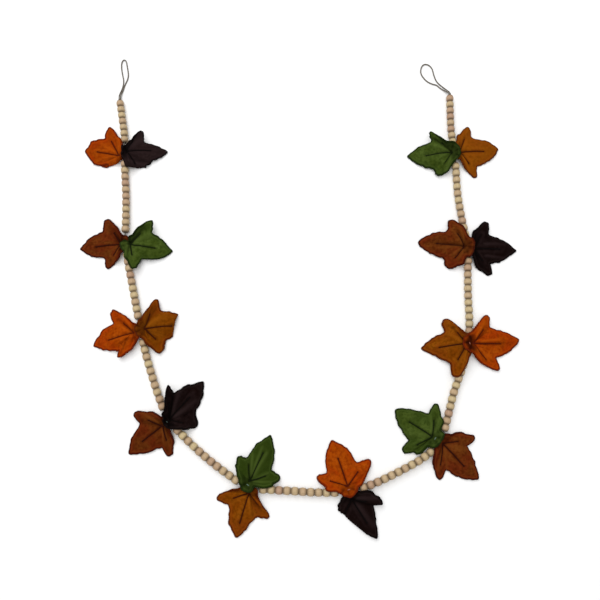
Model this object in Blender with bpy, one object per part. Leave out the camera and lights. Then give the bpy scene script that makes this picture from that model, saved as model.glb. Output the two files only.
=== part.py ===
"""Wool leaf and wooden bead garland, laid out in an open U on a flat surface.

Twenty three-lobed felt leaves are sewn in ten overlapping pairs onto one twine. Wooden beads fill
the twine between the pairs, and a knot and a hanging loop finish each end. Lengths are in
millimetres until a mesh is made, +Z is up, and z = 0 is the surface that the garland lies on.
"""

import math
from collections import namedtuple

import bmesh
import bpy
import numpy as np
from mathutils import Vector
from mathutils.bvhtree import BVHTree

# ---- driving dimensions, in millimetres ----
MM = 0.001
CENTRE_X, CENTRE_Y = -5.6, 31.1  # the middle of the laid-out garland in the plan's own numbers
BEAD_DIAMETER = 13.0
BEAD_PITCH = 12.1  # bead to bead along the twine: the bored ends are a little flat
BEAD_JOINT_RADIUS = 4.7
BORE_RADIUS = 1.6
TWINE_DIAMETER = 2.0
AXIS_HEIGHT = BEAD_DIAMETER / 2  # the beads rest on the surface, so the twine runs at this height
STATION = 38.0  # spacing of the twine's points
BARE = 17.0  # bare twine on each side of a leaf pair's middle
FELT = 2.2
FLAT_WITHIN = 0.5  # felt that comes this near the surface lies flat on it
GAP = 0.3  # between pieces that touch on the real garland
LEAF_OVER_BEAD = 2.0  # draped felt stands this far off the beads
LEAF_OVER_LEAF = 0.8
LEAF_OVER_TWINE = 0.5
SEAT_LOWEST, SEAT_STEP, SEAT_STEPS = -3.0, 0.2, 40  # the shifts that are tried to seat a leaf
FOLD_RADIUS = 2.4  # of the felt's middle, where a lobe is folded under
BOW = 0.97  # the least that a bowed leaf's plan reach is of its own length
BASE_LIFT = 1.5  # the base of a leaf is this much higher than its vein junction
SETTLE_PASSES = 6  # the felt is lifted off what lies under it, and the lift dies away in passes
SETTLE_KEEP, SETTLE_SPREAD = 0.35, 0.55  # how much of the lift a pass keeps and passes on
FLAP_MARGIN = 5.0  # felt this near a folded lobe is lifted with it
KNOT_LENGTH, KNOT_WIDTH, KNOT_HEIGHT = 5.0, 5.6, 5.6
PLEAT, PLEAT_LENGTH = 2.6, 55.0  # rise and length of the soft pleats between the veins
VEIN_ANGLE = 58.0  # from the middle vein to a side vein, on the flat leaf
NOTCH_ANGLE, OUTER_ANGLE = 37.0, 84.0  # to the notch before a side lobe, and to the lobe's far side
GATHER = 0.65  # how much of a lobe's far side a full gather takes up in plan
GATHER_LIFT = 4.0
NOTCH_SHARE = 0.65  # the height at a notch, from the middle lobe's end towards the side lobe's
BEAD_SIDES = 8

# Half of the flat leaf's outline, about the point where its three veins meet.
Outline = namedtuple("Outline", "angle radius")
FLAT_LEAF = [
    Outline(0, 81.0),
    Outline(9, 71.0),
    Outline(23, 55.5),
    Outline(NOTCH_ANGLE, 42.5),
    Outline(49, 52.5),
    Outline(VEIN_ANGLE, 59.0),
    Outline(66, 52.5),
    Outline(74, 40.0),
    Outline(OUTER_ANGLE, 31.0),
    Outline(98, 21.0),
    Outline(118, 18.0),
    Outline(146, 17.0),
    Outline(180, 17.0),
]
RINGS = (0.32, 0.62, 0.86, 1.0)  # rings of the leaf's mesh, as shares of each radius

# The twine's route in plan, from the left end to the right end.
ROUTE = [
    (-316, 356), (-310, 322), (-304.5, 290), (-303, 260), (-300, 222), (-296, 179), (-294, 135),
    (-293, 98), (-286, 61), (-277, 22), (-266, -26), (-260, -50), (-251, -86), (-239, -123),
    (-225, -161), (-209, -195), (-183, -222.5), (-150.5, -251.5), (-114.5, -278.5), (-80, -299),
    (-44, -303), (-8, -305), (28, -307), (74, -306), (112, -295), (157, -274.5), (195, -253.5),
    (221, -229), (235, -190), (247, -150), (262, -113), (273, -76), (277, -35), (277, 3),
    (278.5, 46), (280.5, 88), (273, 141), (268.5, 182), (267.5, 219), (267, 256), (262.5, 300),
    (263, 366),
]
# Where each pair of leaves is sewn on, in plan.
PAIRS = {
    1: (-303, 260), 2: (-293, 98), 3: (-260, -50), 4: (-209, -195), 5: (-80, -299),
    6: (76, -306), 7: (221, -229), 8: (273, -76), 9: (280.5, 88), 10: (267, 256),
}
# Each loop runs out from its knot and back to it.
LOOP_LEFT = [
    (-318, 362.2, 5.0), (-318.2, 369, 2.8), (-315.4, 379, 1.1), (-313.2, 388, 1.1),
    (-313, 398, 1.1), (-315.2, 408, 1.1), (-317.6, 420, 1.1), (-318.2, 430, 1.1),
    (-316.6, 436, 1.1), (-313.4, 438, 1.1), (-310.2, 434.5, 1.1), (-307.8, 424, 1.1),
    (-305.4, 411, 1.1), (-305.8, 401, 1.1), (-309.2, 391.5, 1.1), (-311, 386, 1.1),
    (-312.6, 379, 1.1), (-315.4, 369.6, 2.8), (-315.4, 362.2, 5.0),
]
LOOP_RIGHT = [
    (261, 372, 5.0), (256, 376.5, 2.8), (248.5, 382.5, 1.1), (242, 388.5, 1.1),
    (234.5, 391, 1.1), (226, 395.6, 1.1), (219, 403.5, 1.1), (215, 412.5, 1.1),
    (216, 422.5, 1.1), (221, 429, 1.1), (229, 428, 1.1), (235.2, 420.6, 1.1), (237.6, 409.6, 1.1),
    (241, 398.6, 1.1), (245.6, 391.5, 1.1), (252.6, 385, 1.1), (259.4, 378, 2.8),
    (263.8, 372.4, 5.0),
]
KNOTS = {"knot_left": (-316.5, 358.9), "knot_right": (263.0, 368.9)}

# One row a leaf. Left and right are as seen along the middle vein. A reach is the plan distance
# from the vein junction and a turn is the plan angle from the middle vein: of a side lobe's end,
# and of the notch before it. A lift is the height of a lobe's end, and a gather is how much the far
# side of the lobe is drawn in. A fold turns under all that lies past a straight line, given by its
# direction from the middle vein and its distance from the junction.
Side = namedtuple("Side", "turn reach lift notch_turn notch_reach gather")
Fold = namedtuple("Fold", "angle distance")
Leaf = namedtuple("Leaf", "name colour x y heading size seat base reach lift left right fold")
NO_FOLD = Fold(0, 0)
BACK, FRONT = 6.0, 8.2  # height of the vein junction of the under and the upper leaf of a pair
LEAVES = [
    Leaf("leaf_01_back", "orange", -311, 251.5, 167.8, 0.93, BACK, 12, 63.7, -2,
         Side(68, 46, -2, 43.7, 30.5, 0.0), Side(-55.7, 59, 4, -37.7, 44, 0.17), Fold(120, 6)),
    Leaf("leaf_01_front", "plum", -298, 258, 3, 0.92, FRONT, 7.5, 69, 0,
         Side(49, 43, 20, 24, 35, 1.0), Side(-58, 54, -2, -37, 39, 0.0), Fold(-88.3, 25)),
    Leaf("leaf_02_back", "rust", -300, 93, -175, 0.91, BACK, 14, 69, -3,
         Side(55, 45, -2, 33, 34, 0.4), Side(-63, 54, 5, -41, 40, 0.2), NO_FOLD),
    Leaf("leaf_02_front", "green", -283, 92, -8, 0.92, FRONT, 16, 70, -1,
         Side(55, 53, 18, 38, 40, 0.2), Side(-70, 42, 12, -43, 30, 0.0), NO_FOLD),
    Leaf("leaf_03_back", "orange", -271, -56, -162.9, 0.93, BACK, 14, 69.4, -3,
         Side(42, 46.6, 8, 27.1, 39.4, 0.0), Side(-60.2, 55.3, 3, -40.3, 38.7, 0.37), NO_FOLD),
    Leaf("leaf_03_front", "ochre", -253, -50, 11, 0.92, FRONT, 15, 70, 0,
         Side(60, 53, 6, 40, 38, 0.5), Side(-66, 46, -2, -37, 39, 0.2), Fold(-26, 44)),
    Leaf("leaf_04_back", "rust", -218, -205, -140, 0.92, BACK, 14, 67, -3,
         Side(64, 49, -1, 49, 33.6, 0.0), Side(-62, 50, 5, -43, 35.5, 0.0), NO_FOLD),
    Leaf("leaf_04_front", "plum", -207, -197, 50, 1.0, FRONT, 10, 80, -1,
         Side(41, 54, 24, 30, 43, 1.0), Side(-61.5, 45, -2, -32, 41, 0.5), NO_FOLD),
    Leaf("leaf_05_front", "green", -78, -290, 66, 0.97, FRONT, 17, 76, -1,
         Side(47, 41, 8, 31, 36, 0.0), Side(-59, 47, 2, -38, 37, 0.2), NO_FOLD),
    Leaf("leaf_05_back", "ochre", -79, -308, -106, 0.91, BACK, 14, 69, -3,
         Side(57, 46, 1, 31, 38, 1.0), Side(-65, 51, -2, -44, 37, 0.3), NO_FOLD),
    Leaf("leaf_06_front", "orange", 73.8, -297, 109.1, 0.97, FRONT, 17, 73.8, -1,
         Side(54.8, 48.6, 0, 38.8, 36.8, 0.0), Side(-61.9, 52.8, 4, -40.8, 37.6, 0.0), NO_FOLD),
    Leaf("leaf_06_back", "plum", 80, -317, -57, 0.93, BACK, 14, 70, -3,
         Side(49, 47.5, 8, 41, 34, -0.5), Side(-58, 54, -2, -37, 39, 0.0), Fold(-73.5, 23.6)),
    Leaf("leaf_07_front", "green", 208, -222, 143, 0.93, FRONT, 15, 70, -1,
         Side(60, 50, -2, 44, 36, 0.0), Side(-63, 52, 6, -44, 36, 0.2), NO_FOLD),
    Leaf("leaf_07_back", "rust", 225, -233, -45, 1.0, BACK, 15, 77, -3,
         Side(54, 52, 3, 38, 39, 0.2), Side(-51, 55, -2, -38, 40, 0.4), NO_FOLD),
    Leaf("leaf_08_back", "ochre", 270, -74, -174, 0.94, BACK, 14, 72, -3,
         Side(64, 58, 8, 40, 40, 0.4), Side(-58, 53, 4, -33, 39, 0.5), NO_FOLD),
    Leaf("leaf_08_front", "orange", 279, -74, 4, 1.0, FRONT, 17, 79, -1,
         Side(54, 56, 5, 33, 42, 0.4), Side(-48, 59, -2, -33, 45, 0.4), NO_FOLD),
    Leaf("leaf_09_front", "rust", 274, 89, 173, 0.97, FRONT, 17, 77.5, 0,
         Side(60, 43, 0, 36, 37, 0.0), Side(-60, 50, 9, -41, 38, 0.0), NO_FOLD),
    Leaf("leaf_09_back", "plum", 291, 86, -1, 0.93, BACK, 14, 71, -2,
         Side(63, 54, 5, 44, 37, 0.0), Side(-56, 51, -2, -41, 36, 0.1), NO_FOLD),
    Leaf("leaf_10_front", "green", 261, 256, -178, 0.96, FRONT, 14, 75, -1,
         Side(51, 46, 3, 41, 39, 0.0), Side(-43, 51, 22, -33, 40, 1.0), NO_FOLD),
    Leaf("leaf_10_back", "ochre", 276, 259, 6, 0.92, BACK, 14, 68, -2,
         Side(64, 49.5, 4, 49, 36, 0.1), Side(-65, 51, -1, -46, 36, 0.5), NO_FOLD),
]

Finish = namedtuple("Finish", "colour roughness metallic")
FINISHES = {
    "felt_orange": Finish((0.50, 0.085, 0.008, 1), 0.95, 0.0),
    "felt_rust": Finish((0.19, 0.028, 0.010, 1), 0.95, 0.0),
    "felt_ochre": Finish((0.33, 0.085, 0.008, 1), 0.95, 0.0),
    "felt_green": Finish((0.052, 0.095, 0.012, 1), 0.95, 0.0),
    "felt_plum": Finish((0.018, 0.008, 0.010, 1), 0.95, 0.0),
    "wood": Finish((0.62, 0.44, 0.25, 1), 0.55, 0.0),
    "twine": Finish((0.21, 0.17, 0.12, 1), 0.9, 0.0),
}


# ---- scene helpers ----
def clear_scene():
    for scene_object in list(bpy.data.objects):
        bpy.data.objects.remove(scene_object, do_unlink=True)


def finish_material(name):
    material = bpy.data.materials.get(name)
    if material is None:
        finish = FINISHES[name]
        material = bpy.data.materials.new(name)
        material.use_nodes = True
        shader = material.node_tree.nodes["Principled BSDF"]
        shader.inputs["Base Color"].default_value = finish.colour
        shader.inputs["Roughness"].default_value = finish.roughness
        shader.inputs["Metallic"].default_value = finish.metallic
    return material


def in_metres(point):
    """A plan point in millimetres as a point of the part's own frame."""
    return Vector(((point[0] - CENTRE_X) * MM, (point[1] - CENTRE_Y) * MM, point[2] * MM))


def add_mesh(name, finish, points, faces, smooth=True):
    mesh = bpy.data.meshes.new(name)
    mesh.from_pydata([in_metres(p) for p in points], [], faces)
    shaped = bmesh.new()
    shaped.from_mesh(mesh)
    bmesh.ops.triangulate(shaped, faces=shaped.faces)
    bmesh.ops.recalc_face_normals(shaped, faces=shaped.faces)
    shaped.to_mesh(mesh)
    shaped.free()
    if smooth:
        mesh.shade_smooth()
    made = bpy.data.objects.new(name, mesh)
    bpy.context.scene.collection.objects.link(made)
    mesh.materials.append(finish_material(finish))
    return made


def add_cord(name, finish, points):
    """A round cord of the twine's thickness through the points, with closed ends."""
    curve = bpy.data.curves.new(name, "CURVE")
    curve.dimensions = "3D"
    curve.bevel_depth = TWINE_DIAMETER / 2 * MM
    curve.bevel_resolution = 2
    curve.render_resolution_u = 0
    curve.use_fill_caps = True
    spline = curve.splines.new("POLY")
    spline.points.add(len(points) - 1)
    for spline_point, point in zip(spline.points, points):
        spline_point.co = (*in_metres(point), 1.0)
    made = bpy.data.objects.new(name, curve)
    bpy.context.scene.collection.objects.link(made)
    curve.materials.append(finish_material(finish))
    return made


# ---- the route ----
class Route:
    """A smooth curve through points, measured along its length."""

    STEPS = 16

    def __init__(self, points):
        ends = [2 * np.subtract(points[0], points[1]) + points[1]]
        ends.append(2 * np.subtract(points[-1], points[-2]) + points[-2])
        knots = np.array([ends[0], *points, ends[1]], float)
        dense = []
        for a, b, c, d in zip(knots, knots[1:], knots[2:], knots[3:]):
            for t in np.arange(self.STEPS) / self.STEPS:
                even = 2 * a - 5 * b + 4 * c - d
                odd = 3 * b - a - 3 * c + d
                dense.append(0.5 * (2 * b + (c - a) * t + even * t**2 + odd * t**3))
        dense.append(knots[-2])
        self.dense = np.array(dense)
        steps = np.linalg.norm(np.diff(self.dense, axis=0), axis=1)
        self.along = np.concatenate([[0.0], np.cumsum(steps)])
        self.length = self.along[-1]

    def at(self, distance):
        return np.array([np.interp(distance, self.along, column) for column in self.dense.T])

    def distance_of(self, point):
        """How far along the route its nearest point to a plan point lies."""
        away = np.linalg.norm(self.dense[:, :2] - np.array(point), axis=1)
        return self.along[int(np.argmin(away))]


def ring(centre, tangent, radius, sides=BEAD_SIDES):
    """Points of a level-headed ring about a horizontal tangent: one of them is the lowest."""
    across = np.array([-tangent[1], tangent[0], 0.0])
    turns = np.arange(sides) * 2 * math.pi / sides
    up = np.array([0.0, 0.0, 1.0])
    return [centre + radius * (math.cos(a) * up + math.sin(a) * across) for a in turns]


def bridge(first, second, sides=BEAD_SIDES):
    """Faces between two rings, given the index of each ring's first point."""
    return [
        (first + i, first + (i + 1) % sides, second + (i + 1) % sides, second + i)
        for i in range(sides)
    ]


# ---- the twine and the beads ----
def twine_stations(route):
    count = max(2, round(route.length / STATION))
    return np.linspace(0, route.length, count + 1)


def on_twine(route, stations, distance):
    """A point on the straight stretches that the twine runs in, at the beads' axis height."""
    points = np.array([route.at(s) for s in stations])
    return np.array(
        [np.interp(distance, stations, points[:, 0]), np.interp(distance, stations, points[:, 1]),
         AXIS_HEIGHT]
    )


def direction(route, distance):
    ahead = route.at(min(distance + 3, route.length)) - route.at(max(distance - 3, 0))
    ahead = np.array([ahead[0], ahead[1], 0.0])
    return ahead / np.linalg.norm(ahead)


def bead_runs(route):
    """The start and the end of each run of beads along the twine."""
    middles = [route.distance_of(PAIRS[i]) for i in sorted(PAIRS)]
    starts = [GAP, *(m + BARE for m in middles)]
    ends = [*(m - BARE for m in middles), route.length - GAP]
    return list(zip(starts, ends))


def add_bead_run(name, route, stations, start, end):
    """One run of touching beads as one bored solid: a wide ring a bead, a narrow one a joint."""
    count = round((end - start) / BEAD_PITCH)
    points, outer, inner = [], [], []
    for i in range(2 * count + 1):
        distance = start + (end - start) * i / (2 * count)
        radius = BEAD_DIAMETER / 2 if i % 2 else BEAD_JOINT_RADIUS
        outer.append(len(points))
        centre = on_twine(route, stations, distance)
        points += ring(centre, direction(route, distance), radius)
    within = [s for s in stations if start + 2 < s < end - 2]
    for distance in [start, *within, end]:
        inner.append(len(points))
        centre = on_twine(route, stations, distance)
        points += ring(centre, direction(route, distance), BORE_RADIUS)
    faces = []
    for a, b in zip(outer, outer[1:]):
        faces += bridge(a, b)
    for a, b in zip(inner, inner[1:]):
        faces += bridge(b, a)
    faces += bridge(inner[0], outer[0]) + bridge(outer[-1], inner[-1])
    add_mesh(name, "wood", points, faces)
    return points, faces


def twine_tube(route, stations):
    """The twine's outside, for seating the leaves on it."""
    points, faces = [], []
    for s in stations:
        points += ring(on_twine(route, stations, s), direction(route, s), TWINE_DIAMETER / 2)
    for first in range(0, len(points) - BEAD_SIDES, BEAD_SIDES):
        faces += bridge(first, first + BEAD_SIDES)
    return points, faces


def add_knot(name, place):
    """A small tied knot, longer along the garland than it is wide."""
    shaped = bmesh.new()
    bmesh.ops.create_icosphere(shaped, subdivisions=2, radius=0.5)
    points = [
        (place[0] + v.co.x * KNOT_WIDTH, place[1] + v.co.y * KNOT_LENGTH,
         KNOT_HEIGHT + v.co.z * KNOT_WIDTH)
        for v in shaped.verts
    ]
    faces = [[v.index for v in face.verts] for face in shaped.faces]
    shaped.free()
    add_mesh(name, "twine", points, faces)


# ---- the leaves ----
def smooth_step(t):
    t = min(1.0, max(0.0, t))
    return t * t * (3 - 2 * t)


def flat_radius(angle, size):
    angles = [row.angle for row in FLAT_LEAF]
    return size * float(np.interp(abs(angle), angles, [row.radius for row in FLAT_LEAF]))


def plan_anchors(leaf):
    """Flat angle, plan turn, plan reach as a share of the flat radius, and height of the edge."""
    halves = []
    for sign, side in ((-1, leaf.right), (1, leaf.left)):
        spread = (OUTER_ANGLE - VEIN_ANGLE) * (1 - GATHER * side.gather)
        notch_lift = leaf.lift + NOTCH_SHARE * (side.lift - leaf.lift)
        outer_lift = max(side.lift, 0.0) + GATHER_LIFT * side.gather
        rows = [
            (NOTCH_ANGLE, abs(side.notch_turn), side.notch_reach, notch_lift),
            (VEIN_ANGLE, abs(side.turn), side.reach, side.lift),
            (OUTER_ANGLE, abs(side.turn) + spread, flat_radius(OUTER_ANGLE, leaf.size), outer_lift),
            (180.0, 180.0, leaf.base, leaf.seat + BASE_LIFT),
        ]
        halves.append(
            [
                (sign * angle, sign * turn, reach / flat_radius(angle, leaf.size), lift)
                for angle, turn, reach, lift in rows
            ]
        )
    middle = (0.0, 0.0, leaf.reach / flat_radius(0, leaf.size), leaf.lift)
    return [*reversed(halves[0]), middle, *halves[1]]


def lobe_values(anchors, angle):
    """The plan turn, the reach as a share of the flat radius, and the edge's height at an angle."""
    for low, high in zip(anchors, anchors[1:]):
        if angle <= high[0]:
            t = (angle - low[0]) / (high[0] - low[0])
            s = smooth_step(t)
            return (
                low[1] + (high[1] - low[1]) * t,
                low[2] + (high[2] - low[2]) * s,
                low[3] + (high[3] - low[3]) * s,
            )
    return anchors[-1][1:]


def bowed_line(length, reach, rise, share):
    """Where a share of a line lies that bows up as one arc over a plan reach and a rise."""
    chord = math.hypot(reach, rise)
    length = min(length, chord / BOW)
    slope = math.atan2(rise, reach)
    if chord > 0.995 * length:
        return share * reach, share * rise
    low, high = 0.01, 2.0
    for _ in range(30):
        half = (low + high) / 2
        if math.sin(half) / half > chord / length:
            low = half
        else:
            high = half
    radius = length / (2 * half)
    start = slope + half
    now = start - 2 * half * share
    return radius * (math.sin(start) - math.sin(now)), radius * (math.cos(now) - math.cos(start))


def pleat_rise(angle, radius):
    """The soft pleats: valleys along the veins and ridges between them, strongest near the base."""
    angle = abs(angle)
    if angle < VEIN_ANGLE:
        wave = math.sin(math.pi * angle / VEIN_ANGLE) ** 2
    else:
        wave = math.sin(math.pi * (angle - VEIN_ANGLE) / (180 - VEIN_ANGLE)) ** 2
    return PLEAT * wave * math.sin(math.pi * min(1.0, radius / PLEAT_LENGTH)) ** 2


class LeafShape:
    """One leaf's felt: its flat points, folded and laid out in plan, then lifted off what it lies on."""

    def __init__(self, leaf):
        self.leaf = leaf
        self.anchors = plan_anchors(leaf)
        half = [row.angle for row in FLAT_LEAF]
        self.angles = [-a for a in half[-2:0:-1]] + [float(a) for a in half]
        self.sides = len(self.angles)
        self.flat = [(0.0, 0.0)]
        for share in RINGS:
            self.flat += [(a, share * flat_radius(a, leaf.size)) for a in self.angles]
        self.drops = np.zeros(len(self.flat))
        self.points = np.array([self.place(i, a, r) for i, (a, r) in enumerate(self.flat)])

    def fold(self, angle, radius):
        """The folded place of a flat point, and how far under the leaf it lies."""
        fold = self.leaf.fold
        if fold == NO_FOLD:
            return angle, radius, 0.0
        normal = math.radians(fold.angle)
        x = radius * math.cos(math.radians(angle))
        y = radius * math.sin(math.radians(angle))
        past = x * math.cos(normal) + y * math.sin(normal) - fold.distance
        if past <= 0:
            return angle, radius, 0.0
        turn = past / FOLD_RADIUS
        if turn < math.pi:
            back, drop = FOLD_RADIUS * math.sin(turn), FOLD_RADIUS * (1 - math.cos(turn))
        else:
            back, drop = math.pi * FOLD_RADIUS - past, 2 * FOLD_RADIUS
        x += (back - past) * math.cos(normal)
        y += (back - past) * math.sin(normal)
        return math.degrees(math.atan2(y, x)), math.hypot(x, y), drop

    def place(self, index, angle, radius):
        leaf = self.leaf
        angle, radius, drop = self.fold(angle, radius)
        self.drops[index] = drop
        turn, share, lift = lobe_values(self.anchors, angle)
        length = flat_radius(angle, leaf.size)
        out, up = bowed_line(length, length * share, lift - leaf.seat, radius / length)
        heading = math.radians(leaf.heading + turn)
        height = leaf.seat + up + pleat_rise(angle, radius)
        return (leaf.x + out * math.cos(heading), leaf.y + out * math.sin(heading), height)

    def neighbours(self):
        """The mesh neighbours of each point: the middle, then each ring."""
        n = self.sides
        near = [set() for _ in self.flat]
        for i in range(n):
            for j in range(len(RINGS)):
                here = 1 + j * n + i
                side = 1 + j * n + (i + 1) % n
                inner = here - n if j else 0
                for other in (side, inner):
                    near[here].add(other)
                    near[other].add(here)
        return [sorted(s) for s in near]

    def settle(self, floor_height):
        """Lift the felt clear of what lies under it, and let the lift die away through the felt."""
        under = np.array([floor_height(x, y) for x, y, _ in self.points])
        needed = under + FELT / 2 + self.drops
        if self.leaf.fold != NO_FOLD:
            needed += self.over_flap() * 2 * FOLD_RADIUS
        least = np.maximum(0.0, needed - self.points[:, 2])
        lift = least.copy()
        near = self.neighbours()
        for _ in range(SETTLE_PASSES):
            spread = np.array([lift[n].mean() for n in near])
            lift = np.maximum(least, SETTLE_KEEP * lift + SETTLE_SPREAD * spread)
        top = self.drops == 0
        for i in np.flatnonzero(~top):
            away = np.linalg.norm(self.points[top, :2] - self.points[i, :2], axis=1)
            order = np.argsort(away)[:3]
            weight = 1 / (away[order] + 0.5)
            height = (self.points[top, 2] + lift[top])[order]
            self.points[i, 2] = float((weight * height).sum() / weight.sum())
            lift[i] = 0.0
        self.points[:, 2] += lift - self.drops
        self.points[:, 2] = np.maximum(self.points[:, 2], FELT / 2)

    def seated(self, support):
        """The felt's solid, as low as it goes without meeting what lies under it."""
        laid = self.points.copy()
        for step in range(SEAT_STEPS):
            shift = SEAT_LOWEST + step * SEAT_STEP
            self.points[:, 2] = np.maximum(laid[:, 2] + shift, FELT / 2)
            points, faces = self.solid()
            if support.is_clear(points, faces):
                break
        return points, faces

    def over_flap(self):
        """Which points have the folded lobe under them."""
        fold = self.leaf.fold
        normal = math.radians(fold.angle)
        covered = np.zeros(len(self.flat))
        for i, (angle, radius) in enumerate(self.flat):
            x = radius * math.cos(math.radians(angle))
            y = radius * math.sin(math.radians(angle))
            past = x * math.cos(normal) + y * math.sin(normal) - fold.distance
            if past > 0:
                continue
            x -= 2 * past * math.cos(normal)
            y -= 2 * past * math.sin(normal)
            mirrored = math.degrees(math.atan2(y, x))
            if math.hypot(x, y) < flat_radius(mirrored, self.leaf.size) + FLAP_MARGIN:
                covered[i] = 1.0
        return covered

    def faces(self):
        n = self.sides
        made = [(0, 1 + i, 1 + (i + 1) % n) for i in range(n)]
        for j in range(len(RINGS) - 1):
            a, b = 1 + j * n, 1 + (j + 1) * n
            for i in range(n):
                k = (i + 1) % n
                made += [(a + i, b + i, b + k), (a + i, b + k, a + k)]
        return made

    def solid(self):
        """The felt's two sides and its cut edge, half its thickness each way from its middle."""
        faces = self.faces()
        normals = np.zeros((len(self.points), 3))
        for face in faces:
            corners = self.points[list(face)]
            across = np.cross(corners[1] - corners[0], corners[-1] - corners[0])
            for i in face:
                normals[i] += across
        normals /= np.linalg.norm(normals, axis=1)[:, None]
        if normals[0, 2] < 0:
            normals = -normals
        above = self.points + normals * FELT / 2
        below = self.points - normals * FELT / 2
        below[below[:, 2] < FLAT_WITHIN, 2] = 0.0
        count = len(self.points)
        rim = 1 + (len(RINGS) - 1) * self.sides
        made = list(faces) + [tuple(count + i for i in reversed(face)) for face in faces]
        for i in range(self.sides):
            a, b = rim + i, rim + (i + 1) % self.sides
            made += [(a, count + a, count + b), (a, count + b, b)]
        return np.vstack([above, below]), made


class Support:
    """The height of what lies under a leaf: the surface, the beads, the twine and other leaves."""

    PROBES = [(0, 0), (3, 0), (-3, 0), (0, 3), (0, -3), (2, 2), (-2, 2), (2, -2), (-2, -2)]

    def __init__(self, route, runs):
        self.route = route
        self.runs = runs
        self.trees = []

    def add(self, points, faces):
        self.trees.append(BVHTree.FromPolygons([Vector(p) for p in points], faces))

    def is_clear(self, points, faces):
        """Whether a piece keeps the gap to every piece that is already there."""
        points = [Vector(p) for p in points]
        tree = BVHTree.FromPolygons(points, faces)
        for other in self.trees:
            if tree.overlap(other):
                return False
            if any((other.find_nearest(p, 1.0)[3] or 1.0) < GAP for p in points):
                return False
        return True

    def string_height(self, x, y):
        away = np.linalg.norm(self.route.dense[:, :2] - np.array((x, y)), axis=1)
        nearest = int(np.argmin(away))
        along, across = self.route.along[nearest], away[nearest]
        beaded = any(start - 3 < along < end + 3 for start, end in self.runs)
        if beaded:
            clear = BEAD_DIAMETER / 2 + LEAF_OVER_BEAD
        else:
            clear = TWINE_DIAMETER / 2 + LEAF_OVER_TWINE
        if across >= clear:
            return 0.0
        return AXIS_HEIGHT + math.sqrt(clear**2 - across**2)

    def height(self, x, y):
        highest = max(self.string_height(x + dx, y + dy) for dx, dy in self.PROBES)
        for tree in self.trees:
            for dx, dy in self.PROBES:
                hit = tree.ray_cast(Vector((x + dx, y + dy, 200.0)), Vector((0, 0, -1)))[0]
                if hit is not None:
                    highest = max(highest, hit.z + LEAF_OVER_LEAF)
        return highest


def add_leaves(support):
    for pair in sorted(PAIRS):
        rows = [leaf for leaf in LEAVES if leaf.name.startswith(f"leaf_{pair:02d}")]
        for leaf in sorted(rows, key=lambda row: row.seat):
            shape = LeafShape(leaf)
            shape.settle(support.height)
            points, faces = shape.seated(support)
            support.add(points, faces)
            add_mesh(leaf.name, f"felt_{leaf.colour}", points, faces)


def main():
    clear_scene()
    route = Route(ROUTE)
    stations = twine_stations(route)
    ends = [on_twine(route, stations, s) for s in stations]
    add_cord("twine", "twine", ends)
    runs = bead_runs(route)
    support = Support(route, runs)
    support.add(*twine_tube(route, stations))
    for i, (start, end) in enumerate(runs, 1):
        support.add(*add_bead_run(f"beads_{i:02d}", route, stations, start, end))
    for name, place in KNOTS.items():
        add_knot(name, place)
    for name, points in (("loop_left", LOOP_LEFT), ("loop_right", LOOP_RIGHT)):
        add_cord(name, "twine", points)
    add_leaves(support)


main()
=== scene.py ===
"""Looks of a wool leaf bead garland, laid out in an open U on a pale floor.

Felt leaves are sewn in overlapping pairs onto a twine that is strung with turned wooden beads, and
a loop at each end hangs the garland up. Lengths are in millimetres in the garland's own plan until a
mesh is made. Each piece follows the solid that it stands for, and adds what that solid leaves out.
"""

import logging
import math
from collections.abc import Iterable, Sequence
from dataclasses import dataclass
from enum import Enum

import bpy
import numpy as np
from bpy.types import ID, Material, Mesh, Node, NodeSocket, NodeTree, Object
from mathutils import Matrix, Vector
from mathutils.bvhtree import BVHTree


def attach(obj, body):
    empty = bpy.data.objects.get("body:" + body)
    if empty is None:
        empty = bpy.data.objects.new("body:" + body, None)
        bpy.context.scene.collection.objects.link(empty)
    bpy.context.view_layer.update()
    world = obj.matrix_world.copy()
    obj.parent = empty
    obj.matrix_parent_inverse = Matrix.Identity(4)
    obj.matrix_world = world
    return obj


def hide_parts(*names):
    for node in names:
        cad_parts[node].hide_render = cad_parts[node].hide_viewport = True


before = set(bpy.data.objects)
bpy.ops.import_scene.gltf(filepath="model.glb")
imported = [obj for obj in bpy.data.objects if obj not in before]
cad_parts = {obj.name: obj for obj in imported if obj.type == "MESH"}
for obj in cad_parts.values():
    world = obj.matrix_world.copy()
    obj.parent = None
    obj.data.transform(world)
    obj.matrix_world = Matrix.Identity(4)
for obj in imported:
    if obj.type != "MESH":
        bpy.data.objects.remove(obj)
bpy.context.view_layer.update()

log = logging.getLogger("garland")

MM = 0.001
PLAN_CENTRE = (-5.6, 31.1)  # the middle of the laid-out garland in the plan's own numbers
FELT = 2.2
BEAD_DIAMETER = 13.0
BEAD_PITCH = 12.1
BORE_RADIUS = 1.6
TWINE_DIAMETER = 2.0
AXIS_HEIGHT = BEAD_DIAMETER / 2
BARE = 17.0  # bare twine on each side of a leaf pair's middle
GAP = 0.3  # between a knot and the first bead
FOLD_RADIUS = 2.4  # how sharply felt bends where it is folded under
ABOVE_ALL = 200.0  # a height over every piece, where rays start

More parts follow.
